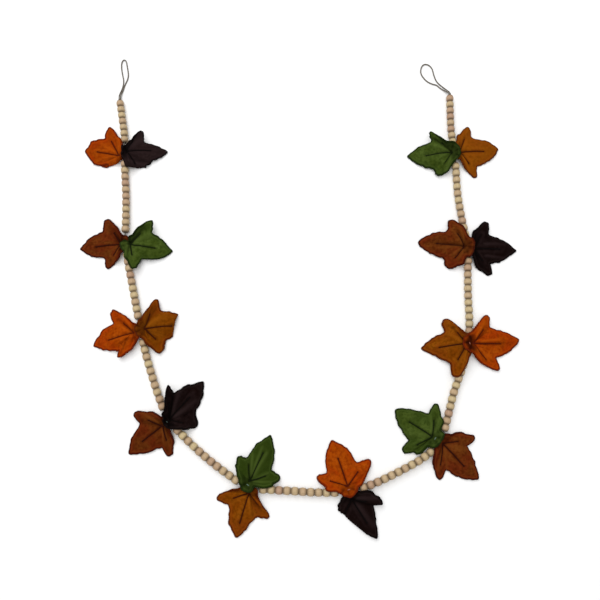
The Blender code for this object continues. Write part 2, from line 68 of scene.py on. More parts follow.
ROUTE = (
    (-316, 356), (-310, 322), (-304.5, 290), (-303, 260), (-300, 222), (-296, 179), (-294, 135),
    (-293, 98), (-286, 61), (-277, 22), (-266, -26), (-260, -50), (-251, -86), (-239, -123),
    (-225, -161), (-209, -195), (-183, -222.5), (-150.5, -251.5), (-114.5, -278.5), (-80, -299),
    (-44, -303), (-8, -305), (28, -307), (74, -306), (112, -295), (157, -274.5), (195, -253.5),
    (221, -229), (235, -190), (247, -150), (262, -113), (273, -76), (277, -35), (277, 3),
    (278.5, 46), (280.5, 88), (273, 141), (268.5, 182), (267.5, 219), (267, 256), (262.5, 300),
    (263, 366),
)
PAIRS = (
    (-303, 260), (-293, 98), (-260, -50), (-209, -195), (-80, -299),
    (76, -306), (221, -229), (273, -76), (280.5, 88), (267, 256),
)
LOOP_LEFT = (
    (-318, 362.2, 5.0), (-318.2, 369, 2.8), (-315.4, 379, 1.1), (-313.2, 388, 1.1),
    (-313, 398, 1.1), (-315.2, 408, 1.1), (-317.6, 420, 1.1), (-318.2, 430, 1.1),
    (-316.6, 436, 1.1), (-313.4, 438, 1.1), (-310.2, 434.5, 1.1), (-307.8, 424, 1.1),
    (-305.4, 411, 1.1), (-305.8, 401, 1.1), (-309.2, 391.5, 1.1), (-311, 386, 1.1),
    (-312.6, 379, 1.1), (-315.4, 369.6, 2.8), (-315.4, 362.2, 5.0),
)
LOOP_RIGHT = (
    (261, 372, 5.0), (256, 376.5, 2.8), (248.5, 382.5, 1.1), (242, 388.5, 1.1),
    (234.5, 391, 1.1), (226, 395.6, 1.1), (219, 403.5, 1.1), (215, 412.5, 1.1),
    (216, 422.5, 1.1), (221, 429, 1.1), (229, 428, 1.1), (235.2, 420.6, 1.1), (237.6, 409.6, 1.1),
    (241, 398.6, 1.1), (245.6, 391.5, 1.1), (252.6, 385, 1.1), (259.4, 378, 2.8),
    (263.8, 372.4, 5.0),
)
KNOT_LEFT = (-316.5, 358.9, 5.6)
KNOT_RIGHT = (263.0, 368.9, 5.6)


class Dye(Enum):
    """The five colours that the felt is dyed in."""

    ORANGE = "orange"
    RUST = "rust"
    OCHRE = "ochre"
    GREEN = "green"
    PLUM = "plum"


class Layer(Enum):
    """Which leaf of a pair lies on the other."""

    UNDER = "back"
    OVER = "front"


# ---- small helpers ----
def linear(hex_colour: str) -> tuple[float, float, float, float]:
    """Turn an sRGB hex colour into a linear one.

    Args:
        hex_colour: Six hex digits after a hash sign.

    Returns:
        Linear red, green and blue, and an alpha of one.
    """
    channels = [int(hex_colour[i : i + 2], 16) / 255 for i in (1, 3, 5)]
    straight = [c / 12.92 if c <= 0.04045 else ((c + 0.055) / 1.055) ** 2.4 for c in channels]
    return straight[0], straight[1], straight[2], 1.0


def fill(tree: NodeTree, node: Node, inputs: dict) -> None:
    """Give a node's inputs their values and links.

    Args:
        tree: The node tree that it is in.
        node: The node.
        inputs: A value, or another node's output, for each input's name or index.
    """
    for key, value in inputs.items():
        if isinstance(value, NodeSocket):
            tree.links.new(value, node.inputs[key])
        else:
            node.inputs[key].default_value = value


def add_node(
    tree: NodeTree, kind: str, inputs: dict, out: int | str = 0, **settings: object
) -> NodeSocket:
    """Add a node with its settings and links, and give the output that is wanted of it.

    Args:
        tree: The node tree that takes it.
        kind: Blender's name for the node.
        inputs: A value, or another node's output, for each input's name or index.
        out: The wanted output's name or index.
        **settings: The node's own properties.

    Returns:
        That output.
    """
    node = tree.nodes.new(kind)
    for name, value in settings.items():
        setattr(node, name, value)
    fill(tree, node, inputs)
    return node.outputs[out]


def in_metres(points: np.ndarray) -> np.ndarray:
    """Turn plan points in millimetres into points of the garland's own frame in metres."""
    return (np.asarray(points, float) - (*PLAN_CENTRE, 0.0)) * MM


def smooth_step(t: np.ndarray) -> np.ndarray:
    """Ease from nought to one."""
    t = np.clip(t, 0.0, 1.0)
    return t * t * (3 - 2 * t)


def hump(distance: np.ndarray, width: float) -> np.ndarray:
    """A soft hump: one at no distance, and nearly nought at twice its width."""
    return np.exp(-((distance / width) ** 2))


def unit(vectors: np.ndarray) -> np.ndarray:
    """Scale vectors to a length of one."""
    return vectors / np.maximum(np.linalg.norm(vectors, axis=-1, keepdims=True), 1e-9)


def flat_points(angle: np.ndarray | float, radius: np.ndarray | float) -> np.ndarray:
    """Turn angles in degrees and radii into flat points."""
    turn = np.radians(angle)
    return np.stack([radius * np.cos(turn), radius * np.sin(turn)], axis=-1)


def to_polar(flat: np.ndarray) -> tuple[np.ndarray, np.ndarray]:
    """Turn flat points into angles in degrees and radii."""
    return np.degrees(np.arctan2(flat[..., 1], flat[..., 0])), np.hypot(flat[..., 0], flat[..., 1])


def from_line(
    flat: np.ndarray, start: np.ndarray, run: np.ndarray
) -> tuple[np.ndarray, np.ndarray]:
    """Measure flat points from a straight line.

    Args:
        flat: The points.
        start: Where the line starts.
        run: The step from its start to its end.

    Returns:
        How far each point is from the line, and how far along it, from nought to one.
    """
    off = flat - start
    along = np.clip(off @ run / (run @ run), 0, 1)
    return np.linalg.norm(off - along[..., None] * run, axis=-1), along


def beside(field: np.ndarray, past_rim: np.ndarray) -> np.ndarray:
    """Add up the four neighbours of each value on a leaf's rings.

    Args:
        field: A row of values for each ring, from the middle outwards.
        past_rim: A row that stands for the ring past the last one.

    Returns:
        The sums.
    """
    inner = np.vstack([np.full((1, field.shape[1]), field[0].mean()), field[:-1]])
    outer = np.vstack([field[1:], past_rim])
    return np.roll(field, 1, axis=1) + np.roll(field, -1, axis=1) + inner + outer


def distances_along(path: np.ndarray) -> np.ndarray:
    """How far along a path each of its points lies."""
    steps = np.linalg.norm(np.diff(path, axis=0), axis=1)
    return np.concatenate([[0.0], np.cumsum(steps)])


def ray_tree(mesh: Mesh) -> BVHTree:
    """Make a mesh ready for rays."""
    corners = [v.co.copy() for v in mesh.vertices]
    return BVHTree.FromPolygons(corners, [list(p.vertices) for p in mesh.polygons])


def top_at(tree: BVHTree, x: float, y: float) -> float | None:
    """Find how high a mesh reaches at a plan point.

    Args:
        tree: The mesh, ready for rays.
        x: The point's x.
        y: The point's y.

    Returns:
        The height of its highest face there, or None where it has no face.
    """
    start = in_metres(np.array((x, y, ABOVE_ALL)))
    hit = tree.ray_cast(Vector(start), Vector((0, 0, -1)))[0]
    return None if hit is None else hit.z / MM


def add_object(name: str, data: ID) -> Object:
    """Put an object into the scene.

    Args:
        name: Its name.
        data: Its mesh, camera or light.

    Returns:
        The object.
    """
    made = bpy.data.objects.new(name, data)
    bpy.context.scene.collection.objects.link(made)
    return made


def aim(item: Object, place: Vector, target: Vector) -> None:
    """Put a camera or a light in its place, and point it.

    Args:
        item: The camera or light.
        place: Where it goes.
        target: What it points at.
    """
    item.location = place
    item.rotation_mode = "QUATERNION"
    item.rotation_quaternion = (target - place).to_track_quat("-Z", "Y")


def make_piece(
    name: str,
    points: np.ndarray,
    faces: Sequence[Sequence[int]],
    material: Material,
    values: dict[str, np.ndarray],
) -> Object:
    """Make a smooth mesh piece that rides on the garland's one body.

    Args:
        name: The piece's name.
        points: Its points, in plan millimetres.
        faces: Its faces, as point indices.
        material: Its only material.
        values: A number or a vector for each point, by the name that the material reads.

    Returns:
        The piece's object.
    """
    mesh = bpy.data.meshes.new(name)
    mesh.from_pydata(in_metres(points).tolist(), [], [list(map(int, face)) for face in faces])
    mesh.shade_smooth()
    for label, numbers in values.items():
        numbers = np.asarray(numbers, np.float32)
        kind, field = ("FLOAT", "value") if numbers.ndim == 1 else ("FLOAT_VECTOR", "vector")
        mesh.attributes.new(label, kind, "POINT").data.foreach_set(field, numbers.ravel())
    mesh.materials.append(material)
    piece = add_object(name, mesh)
    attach(piece, "root")
    log.info("%s: %d faces", name, len(mesh.polygons))
    return piece


def through(points: Iterable[Sequence[float]], steps: int) -> np.ndarray:
    """Run a smooth curve through points.

    Args:
        points: The points.
        steps: How many points the curve gets between each two.

    Returns:
        The curve's points.
    """
    given = np.array(list(points), float)
    knots = np.vstack([2 * given[0] - given[1], given, 2 * given[-1] - given[-2]])
    curve = []
    for a, b, c, d in zip(knots, knots[1:], knots[2:], knots[3:]):
        for t in np.arange(steps) / steps:
            even = 2 * a - 5 * b + 4 * c - d
            odd = 3 * b - a - 3 * c + d
            curve.append(0.5 * (2 * b + (c - a) * t + even * t**2 + odd * t**3))
    curve.append(knots[-2])
    return np.array(curve)


def evenly(curve: np.ndarray, spacing: float) -> np.ndarray:
    """Space points evenly along a curve.

    Args:
        curve: The curve's points.
        spacing: About how far apart the new points are.

    Returns:
        The new points, the curve's ends among them.
    """
    along = distances_along(curve)
    marks = np.linspace(0, along[-1], max(2, round(along[-1] / spacing)) + 1)
    return np.column_stack([np.interp(marks, along, column) for column in curve.T])


def strip_faces(rings: int, sides: int, closed: bool = False) -> list[tuple[int, ...]]:
    """List the faces between the rings of a tube, whose points are listed ring by ring.

    Args:
        rings: How many rings it has.
        sides: How many points each ring has.
        closed: Whether its last ring joins its first.

    Returns:
        The faces.
    """
    return [
        (r * sides + i, r * sides + (i + 1) % sides, after + (i + 1) % sides, after + i)
        for r in range(rings if closed else rings - 1)
        for after in [(r + 1) % rings * sides]
        for i in range(sides)
    ]


def ring_angles(sides: int) -> np.ndarray:
    """The angles of a ring's points, in radians."""
    return np.arange(sides) * math.tau / sides


def capped_tube(
    line: np.ndarray, side: np.ndarray, up: np.ndarray, radius: np.ndarray, sides: int
) -> tuple[np.ndarray, list[tuple[int, ...]]]:
    """Wrap a tube with closed ends round a line.

    Args:
        line: The line's points.
        side: A direction across the line at each point.
        up: The other direction across it.
        radius: A row for each point: one radius, or one for each of the ring's points.
        sides: How many points each ring has.

    Returns:
        The tube's points and faces.
    """
    turns = ring_angles(sides)[None, :, None]
    ring = np.cos(turns) * side[:, None, :] + np.sin(turns) * up[:, None, :]
    points = (line[:, None, :] + radius[:, :, None] * ring).reshape(-1, 3)
    first, last = range(sides), range(len(points) - sides, len(points))
    return points, [*strip_faces(len(line), sides), tuple(reversed(first)), tuple(last)]


def joined(
    parts: Iterable[tuple[np.ndarray, list[tuple[int, ...]]]],
) -> tuple[np.ndarray, list[tuple[int, ...]]]:
    """Put several meshes together.

    Args:
        parts: The points and faces of each.

    Returns:
        The points and faces of them all.
    """
    points: list[np.ndarray] = []
    faces: list[tuple[int, ...]] = []
    first = 0
    for own_points, own_faces in parts:
        points.append(own_points)
        faces += [tuple(first + i for i in face) for face in own_faces]
        first += len(own_points)
    return np.vstack(points), faces


def frames_along(path: np.ndarray) -> tuple[np.ndarray, np.ndarray]:
    """Find directions across a path, at each of its points, that don't twist about it.

    Args:
        path: The path's points.

    Returns:
        Two arrays of directions across the path.
    """
    tangents = unit(np.gradient(path, axis=0))
    first = np.cross(tangents[0], (0.0, 0.0, 1.0))
    if np.linalg.norm(first) < 0.1:
        first = np.cross(tangents[0], (0.0, 1.0, 0.0))
    side = [unit(first)]
    for tangent in tangents[1:]:
        side.append(unit(side[-1] - tangent * (side[-1] @ tangent)))
    sides = np.array(side)
    return sides, np.cross(tangents, sides)


@dataclass(frozen=True)
class TwistedCord:
    """A plied cord: strands that wind round each other, seen as ridges along a tube."""

    diameter: float
    plies: int = 3
    lay: float = 6.5  # how far along the cord a strand goes round once
    sides: int = 12
    crown: float = 1.06  # how far a strand's back stands out, by the cord's radius
    groove: float = 0.26  # how much deeper the line between two strands lies

    def tube(self, path: np.ndarray) -> tuple[np.ndarray, list, np.ndarray]:
        """Wind the cord along a path.

        Args:
            path: The middle of the cord, in plan millimetres.

        Returns:
            The points, the faces, and for each point how deep it lies between two strands.
        """
        side, up = frames_along(path)
        strands = distances_along(path)[:, None] / self.lay
        phase = (ring_angles(self.sides)[None, :] - math.tau * strands) * self.plies
        groove = 0.5 - 0.5 * np.cos(phase)
        radius = self.diameter / 2 * (self.crown - self.groove * groove**2)
        points, faces = capped_tube(path, side, up, radius, self.sides)
        return points, faces, groove.ravel()


# ---- finishes ----
@dataclass(frozen=True)
class Finish:
    """A surface, whose material is made once and shared by every piece that has it."""

    title: str

    def look(self, tree: NodeTree) -> dict[str, object]:
        """Say what the material's shader takes: each finish says it in its own way."""
        raise NotImplementedError

    def layered(self, tree: NodeTree, ground: str, *layers: tuple) -> NodeSocket:
        """Lay colours over a ground in turn.

        Args:
            tree: The material's node tree.
            ground: The ground's hex colour.
            *layers: For each, what steers it, where that starts and ends, the most that the
                colour covers, and its hex colour.

        Returns:
            The colour that they make together.
        """
        colour: object = linear(ground)
        for value, low, high, most, laid in layers:
            limits = {"Value": value, "From Min": low, "From Max": high, "To Max": most}
            share = add_node(tree, "ShaderNodeMapRange", limits)
            mixed = {0: share, 6: colour, 7: linear(laid)}
            colour = add_node(tree, "ShaderNodeMix", mixed, 2, data_type="RGBA")
        return colour

    def material(self) -> Material:
        """Make the material, or find the one that was made before.

        Returns:
            The material.
        """
        made = bpy.data.materials.get(self.title)
        if made is None:
            made = bpy.data.materials.new(self.title)
            made.use_nodes = True
            tree = made.node_tree
            fill(tree, tree.nodes["Principled BSDF"], self.look(tree))
        return made


@dataclass(frozen=True)
class WoolFelt(Finish):
    """Needled wool felt, dyed in the piece: no shine, a soft nap and clouds in the dye."""

    # The light colour also serves as painted highlight, and the thread colour as painted shade.
    ground: str
    deep: str
    light: str
    hem: str
    thread: str

    def look(self, tree: NodeTree) -> dict[str, object]:
        """Lay clouds, mottles, nap and hem over the dye, then painted highlight and painted shade.

        Args:
            tree: The material's node tree.

        Returns:
            What its shader takes.
        """
        place = add_node(tree, "ShaderNodeTexCoord", {}, "Object")
        # Blotches by their width in millimetres and how rough their edges are. Real nap is about
        # 0.2 mm; it is drawn at 1.1 mm, or it wouldn't show.
        clouds, blushes, mottles, nap = (
            add_node(
                tree,
                "ShaderNodeTexNoise",
                {"Vector": place, "Scale": 1 / (width * MM), "Detail": detail},
                "Fac",
            )
            for width, detail in ((14.0, 3.0), (24.0, 1.0), (4.5, 2.0), (1.1, 3.0))
        )
        painted_highlight_and_pale_dye, painted_shade, rim, deeper = (
            add_node(tree, "ShaderNodeAttribute", {}, "Fac", attribute_name=name)
            for name in ("painted_highlight_and_pale_dye", "painted_shade", "rim", "deeper")
        )
        inside, outside = (
            add_node(
                tree,
                "ShaderNodeMapRange",
                {"Value": rim, "From Min": low, "From Max": high, "To Max": most},
            )
            for low, high, most in ((2.5, 3.5, 0.35), (5.0, 3.8, 1.0))
        )
        line = add_node(tree, "ShaderNodeMath", {0: inside, 1: outside}, operation="MULTIPLY")
        colour = self.layered(
            tree,
            self.ground,
            (clouds, 0.38, 0.62, 0.75, self.light),  # the dye took less here
            (blushes, 0.48, 0.62, 0.55, self.hem),  # and more here
            (mottles, 0.42, 0.66, 0.7, self.deep),  # wool matted closer
            (nap, 0.45, 0.72, 0.5, self.deep),  # the short nap
            (deeper, 0.0, 1.0, 1.0, self.deep),  # the leaf's own depth of dye
            (rim, 8.0, 1.5, 0.75, self.hem),  # the hem, pressed by its stitches
            (line, 0.0, 1.0, 1.0, self.light),  # a pale line inside it
            (rim, 3.6, 1.4, 0.6, self.thread),  # thread that shows through at the edge
            (painted_highlight_and_pale_dye, 0.0, 1.0, 1.0, self.light),  # painted highlight on banks, gathers and ridges, with a paler leaf's lighter dye
            (painted_shade, 0.0, 1.0, 1.0, self.thread),  # painted shade in hollows, creases, the middle and the neck
        )
        height = {"Height": nap, "Strength": 0.5, "Distance": 0.4 * MM}
        return {
            "Base Color": colour,
            "Normal": add_node(tree, "ShaderNodeBump", height),
            "Roughness": 0.95,
            "Specular IOR Level": 0.01,
            "Sheen Weight": 0.005,
            "Sheen Roughness": 0.6,
            "Sheen Tint": linear(self.light),
        }


@dataclass(frozen=True)
class StitchThread(Finish):
    """Spun cotton stitching thread: matt, with painted shade where two stitches meet."""

    colour: str
    dark: str

    def look(self, tree: NodeTree) -> dict[str, object]:
        """Paint uneven shade where its stitches meet.

        Args:
            tree: The material's node tree.

        Returns:
            What its shader takes.
        """
        place = add_node(tree, "ShaderNodeTexCoord", {}, "Object")
        groove = add_node(tree, "ShaderNodeAttribute", {}, "Fac", attribute_name="groove")
        # The twist of real thread is about 0.3 mm; it is drawn coarser, or it wouldn't show.
        spun = {"Vector": place, "Scale": 1 / (0.714 * MM), "Detail": 2.0}
        fibre = add_node(tree, "ShaderNodeTexNoise", spun, "Fac")
        share = add_node(tree, "ShaderNodeMath", {0: groove, 1: fibre}, operation="MULTIPLY")
        colour = self.layered(tree, self.colour, (share, 0.0, 1.0, 1.0, self.dark))
        return {"Base Color": colour, "Roughness": 0.9, "Specular IOR Level": 0.06}


@dataclass(frozen=True)
class TurnedWood(Finish):
    """Pale hardwood, turned and sanded but not varnished: a satin skin with fine long grain."""

    pale: str
    warm: str
    line: str
    bore: str

    def look(self, tree: NodeTree) -> dict[str, object]:
        """Draw the grain over each bead's own tone, and darken its ends: end grain and painted shade.

        Args:
            tree: The material's node tree.

        Returns:
            What its shader takes.
        """
        tone, end = (
            add_node(tree, "ShaderNodeAttribute", {}, "Fac", attribute_name=name)
            for name in ("tone", "bead_end")
        )
        local = add_node(tree, "ShaderNodeAttribute", {}, "Vector", attribute_name="bead_place")
        # Growth lines about 1.2 mm apart that run along the bore.
        squeezed = {"Vector": local, "Scale": (0.8, 0.8, 0.08)}
        stretched = add_node(tree, "ShaderNodeMapping", squeezed)
        lines = {"Vector": stretched, "Scale": 1.0, "Detail": 4.0, "Distortion": 1.2}
        grain = add_node(tree, "ShaderNodeTexNoise", lines, "Fac")
        colour = self.layered(
            tree,
            self.pale,
            (tone, 0.0, 1.0, 1.0, self.warm),  # each bead's own tone
            (grain, 0.42, 0.68, 0.45, self.line),  # growth lines
            (end, 0.0, 1.0, 1.0, self.bore),  # darker end grain, and painted shade towards the joints and in the bore
        )
        height = {"Height": grain, "Strength": 0.2, "Distance": 0.2 * MM}
        return {
            "Base Color": colour,
            "Normal": add_node(tree, "ShaderNodeBump", height),
            "Roughness": 0.55,
            "Specular IOR Level": 0.35,
        }


@dataclass(frozen=True)
class PliedTwine(Finish):
    """Undyed plied twine: dull, with painted shade in the hollows between its strands."""

    strand: str
    hollow: str

    def look(self, tree: NodeTree) -> dict[str, object]:
        """Paint shade into the hollows and mottle the strands.

        Args:
            tree: The material's node tree.

        Returns:
            What its shader takes.
        """
        place = add_node(tree, "ShaderNodeTexCoord", {}, "Object")
        groove = add_node(tree, "ShaderNodeAttribute", {}, "Fac", attribute_name="groove")
        # Loose fibres mottle the strands about every 0.7 mm.
        spun = {"Vector": place, "Scale": 1 / (0.667 * MM), "Detail": 3.0}
        fibre = add_node(tree, "ShaderNodeTexNoise", spun, "Fac")
        limits = {"Value": fibre, "From Min": 0.3, "From Max": 0.7, "To Max": 0.4}
        mottled = add_node(tree, "ShaderNodeMapRange", limits)
        # The hollows' painted shade, or the strands' mottle, whichever is more.
        share = add_node(tree, "ShaderNodeMath", {0: groove, 1: mottled}, operation="MAXIMUM")
        colour = self.layered(tree, self.strand, (share, 0.0, 1.0, 1.0, self.hollow))
        return {"Base Color": colour, "Roughness": 0.9, "Specular IOR Level": 0.2}


@dataclass(frozen=True)
class MattCard(Finish):
    """Matt white card for the floor: no gloss, so it takes only soft shadows."""

    colour: str

    def look(self, tree: NodeTree) -> dict[str, object]:
        """Leave the card plain."""
        return {"Base Color": linear(self.colour), "Roughness": 0.9}


# Each dye's felt: ground, deeper and lighter clouds, pressed hem, and the dark of thread at the edge,
# which also paints shade in pinched hollows, as the lighter one paints highlights. Then the threads
# of its edge and of its veins, each with the darker one that paints shade where two stitches meet.
DYED = {
    Dye.ORANGE: (
        ("#963D02", "#742802", "#A84C0A", "#982C04", "#2E0C03"),
        ("#621E07", "#3E1003"), ("#4E1404", "#340C03"),
    ),
    Dye.RUST: (
        ("#5A290B", "#421604", "#6E3C14", "#641C0C", "#1E0803"),
        ("#3C1208", "#240903"), ("#2E0C05", "#1C0603"),
    ),
    Dye.OCHRE: (
        ("#783B04", "#582A00", "#8A4C0C", "#763008", "#280C03"),
        ("#562006", "#341003"), ("#3C1304", "#280C03"),
    ),
    Dye.GREEN: (
        ("#3A4816", "#26340B", "#4C5C26", "#2E3E14", "#0A1004"),
        ("#1C2A0C", "#0F1806"), ("#141D08", "#0C1205"),
    ),
    Dye.PLUM: (
        ("#1A0E0C", "#0F0605", "#2C2020", "#150E0D", "#080505"),
        ("#0E0707", "#060303"), ("#080404", "#040202"),
    ),
}
# The painted shade where a tacking stitch dips into the felt.
TACK_DARK = "#3A3228"
WOOD = TurnedWood("turned_hardwood_sanded", "#C6B287", "#B08E74", "#8E7350", "#54402C")
TWINE = PliedTwine("plied_cotton_twine_undyed", "#7E766A", "#453E35")
CARD = MattCard("matt_white_card", "#FAFAFA")


# ---- the twine, its loops and its knots ----
@dataclass
class Stringing:
    """The twine that carries everything, from the left end to the right end."""

    cord: TwistedCord = TwistedCord(TWINE_DIAMETER)
    bare_step: float = 0.8  # between the twine's rings where it shows
    hidden_step: float = 6.0  # and where beads cover it
    knot_cord: TwistedCord = TwistedCord(1.7, lay=5.0, sides=10)  # drawn up thinner
    knot_size: float = 0.62

    def __post_init__(self) -> None:
        """Lay the route and mark the bead runs on it."""
        plan = through(ROUTE, 16)
        self.dense = np.column_stack([plan, np.full(len(plan), AXIS_HEIGHT)])
        self.along = distances_along(self.dense)
        self.length = float(self.along[-1])
        middles = [self.distance_of(pair) for pair in PAIRS]
        starts = [GAP, *(m + BARE for m in middles)]
        ends = [*(m - BARE for m in middles), self.length - GAP]
        self.runs = list(zip(starts, ends))

    def distance_of(self, point: Sequence[float]) -> float:
        """How far along the route it passes nearest to a plan point."""
        away = np.linalg.norm(self.dense[:, :2] - np.array(point), axis=1)
        return float(self.along[int(np.argmin(away))])

    def at(self, distance: float | np.ndarray) -> np.ndarray:
        """The route's point or points at a distance along it."""
        columns = [np.interp(distance, self.along, column) for column in self.dense.T]
        return np.stack(columns, axis=-1)

    def direction(self, distance: float) -> np.ndarray:
        """The way that the route runs at a distance along it."""
        return unit(self.at(min(distance + 3, self.length)) - self.at(max(distance - 3, 0)))

    def wind(
        self, name: str, solid: str, path: np.ndarray, cord: TwistedCord
    ) -> Object:
        """Wind twine along a path, in place of a solid.

        Args:
            name: The piece's name.
            solid: The solid's name.
            path: The middle of the twine, in plan millimetres.
            cord: How the twine is laid.

        Returns:
            The piece.
        """
        points, faces, groove = cord.tube(path)
        piece = make_piece(name, points, faces, TWINE.material(), {"groove": groove})
        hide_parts(solid)
        return piece

    def build_twine(self) -> Object:
        """Wind the main twine, finely only where it shows.

        Returns:
            The piece.
        """
        marks: list[float] = []
        place = 0.0
        while place < self.length:
            marks.append(place)
            hidden = any(a + 2 < place < b - self.hidden_step for a, b in self.runs)
            place += self.hidden_step if hidden else self.bare_step
        marks.append(self.length)
        path = self.at(np.array(marks))
        self.twine_path = in_metres(path)
        return self.wind("twine_plied", "twine", path, self.cord)

    def build_loop(self, side: str, route: Sequence[Sequence[float]]) -> Object:
        """Args:
            side: Left or right, as in the solid's name.
            route: The points that the loop runs through.

        Returns:
            The piece.
        """
        path = evenly(through(route, 12), self.bare_step)
        piece = self.wind(f"hanging_loop_{side}", f"loop_{side}", path, self.cord)
        return piece

    def build_knot(self, side: str, middle: Sequence[float]) -> Object:
        """Tie one overhand knot, drawn up tight.

        Args:
            side: Left or right, as in the solid's name.
            middle: The knot's middle.

        Returns:
            The piece.
        """
        # A trefoil: an overhand knot whose ends meet.
        t = np.linspace(0, math.tau, 73)
        knotted = np.column_stack(
            [np.sin(t) + 2 * np.sin(2 * t), np.cos(t) - 2 * np.cos(2 * t), -1.4 * np.sin(3 * t)]
        )
        path = np.array(middle) + self.knot_size * knotted
        return self.wind(f"end_knot_{side}", f"knot_{side}", path, self.knot_cord)


# ---- the beads ----
@dataclass
class Beads:
    """Round turned beads with flat bored ends, one piece for each run between two leaf pairs."""

    stringing: Stringing
    sides: int = 26
    end_radius: float = 4.4
    end_turn: float = 62.0  # degrees of the bead's round on each side of its waist
    mouth: tuple[float, float] = (0.6, 0.7)  # how deep and how much wider the bore's mouth is
    play: float = 0.05  # half the gap between two beads
    uneven: float = 0.012
    tone: tuple[float, float] = (0.42, 0.32)  # the middle and the spread of the beads' tones
    # How dark the ends get, from end grain and painted shade between beads.
    end_grain_and_shade_most: float = 0.75
    seed: int = 11

    def profile(self, half: float) -> np.ndarray:
        """The bead's turned outline.

        Args:
            half: Half the bead's length along its bore.

        Returns:
            Rows of a place along the bore and a radius, in a closed round.
        """
        turns = np.radians(np.linspace(-self.end_turn, self.end_turn, 15))
        outer = np.column_stack([np.sin(turns), np.cos(turns)])
        outer[:, 0] *= (half - 0.05) / outer[-1, 0]
        rise = (outer[:, 1] - outer[0, 1]) / (1 - outer[0, 1])
        outer[:, 1] = self.end_radius + rise * (BEAD_DIAMETER / 2 - self.end_radius)
        deep, wider = self.mouth
        mouth = np.array([[half, BORE_RADIUS + wider], [half - deep, BORE_RADIUS]])
        return np.vstack([outer, mouth, mouth[::-1] * (-1, 1)])

    def build_run(self, number: int, start: float, end: float) -> Object:
        """String one run of beads.

        Args:
            number: The run's number, as in the solid's name.
            start: Where the run starts along the twine.
            end: Where it ends.

        Returns:
            The piece.
        """
        rng = np.random.default_rng(self.seed + number)
        count = round((end - start) / BEAD_PITCH)
        spacing = (end - start) / count
        place, radius = np.hsplit(self.profile(spacing / 2 - self.play), 2)
        turns, rows = ring_angles(self.sides), len(place)
        # Darker from the middle towards each end and in the bore's mouth: end grain, and painted
        # shade.
        dark = smooth_step((np.abs(place) / (spacing / 2) - 0.3) / 0.7)
        dark[radius < BORE_RADIUS + 0.1] = 1.0
        parts, places, tones = [], [], []
        for distance in start + (np.arange(count) + 0.5) * spacing:
            axis = self.stringing.direction(distance)
            across = np.array([-axis[1], axis[0], 0.0])
            size = min(1 + self.uneven * rng.standard_normal(), 1.0)
            grown = turns + rng.uniform(0, math.tau)
            tones.append(np.clip(rng.normal(*self.tone), 0, 1))
            shift = rng.uniform(0, 50, 3)
            outward = np.outer(np.sin(turns), across) + np.outer(np.cos(turns), (0, 0, 1))
            shell = self.stringing.at(distance) + place[..., None] * axis
            shell = shell + size * radius[..., None] * outward
            parts.append((shell.reshape(-1, 3), strip_faces(rows, self.sides, closed=True)))
            grain = (radius * np.cos(grown), radius * np.sin(grown), place + 0 * grown)
            places.append(np.stack(grain, axis=-1).reshape(-1, 3) + shift)
        values = {
            "bead_place": np.vstack(places),
            "tone": np.repeat(tones, rows * self.sides),
            "bead_end": np.tile(self.end_grain_and_shade_most * np.repeat(dark.ravel(), self.sides), count),
        }
        name = f"bead_run_{number:02d}"
        piece = make_piece(name, *joined(parts), WOOD.material(), values)
        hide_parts(f"beads_{number:02d}")
        return piece

    def build(self) -> list[Object]:
        """String every run.

        Returns:
            The pieces.
        """
        runs = enumerate(self.stringing.runs, 1)
        return [self.build_run(number, start, end) for number, (start, end) in runs]


# ---- the leaves ----
@dataclass(frozen=True)
class Cut:
    """A point of the flat leaf's cut line, about the point where its veins meet."""

    angle: float
    radius: float


@dataclass(frozen=True)
class Side:
    """How one side lobe lies: where its end and the notch before it come, and how gathered it is."""

    turn: float  # the lobe's own, in degrees from the middle vein
    reach: float  # from the leaf's centre to the lobe's end
    notch_turn: float
    notch_reach: float
    gather: float  # how far its outer edge is drawn in behind it: 0 is flat, 1 is the most


@dataclass(frozen=True)
class Fold:
    """A straight line that all past it is folded under."""

    angle: float
    distance: float


@dataclass(frozen=True)
class Swell:
    """Where one leaf was cut fuller, or scantier, than the common shape."""

    angle: float
    amount: float
    spread: float = 6.0


@dataclass(frozen=True)
class Crease:
    """A soft trough in the felt from one flat point to another, or a ridge if its depth is minus."""

    angle: float
    start: float
    end_angle: float
    end: float
    depth: float
    width: float


@dataclass(frozen=True)
class Leaf:
    """One leaf's place and lie: its left and right are as seen along the middle vein."""

    pair: int
    layer: Layer
    dye: Dye
    x: float
    y: float
    heading: float  # of the middle vein, in degrees
    size: float  # of its cut, by the common one
    base: float  # how far it reaches behind its centre
    reach: float  # and how far its middle lobe does in front
    left: Side
    right: Side
    fold: Fold | None = None
    swells: tuple[Swell, ...] = ()
    creases: tuple[Crease, ...] = ()
    veins: tuple[float, ...] = (0, 50, 58, 29, -58, 29)  # middle, left, right: angle and length
    tone: float = 0.0  # lighter, or deeper if minus, than its dye's usual colour
    neck: float = 0.4  # how much less light the gathered base holds
    tack: str = ""  # the colour of the tacking stitch that shows, if one does

    @property
    def name(self) -> str:
        """The leaf's own part of its pieces' names."""
        return f"{self.pair:02d}_{self.layer.value}"


@dataclass(frozen=True)
class Bank:
    """A soft rise, or a painted shade or painted highlight, that runs beside a line on the felt."""

    most: float
    width: float
    off: float = 0.0  # how far from the line it lies
    fade: float = 0.0  # the share of it that is lost at the line's end

    def at(self, away: np.ndarray, out: np.ndarray | float = 0.0) -> np.ndarray:
        """How much of it there is so far from the line, and so far along it."""
        return self.most * hump(away - self.off, self.width) * (1 - self.fade * out)


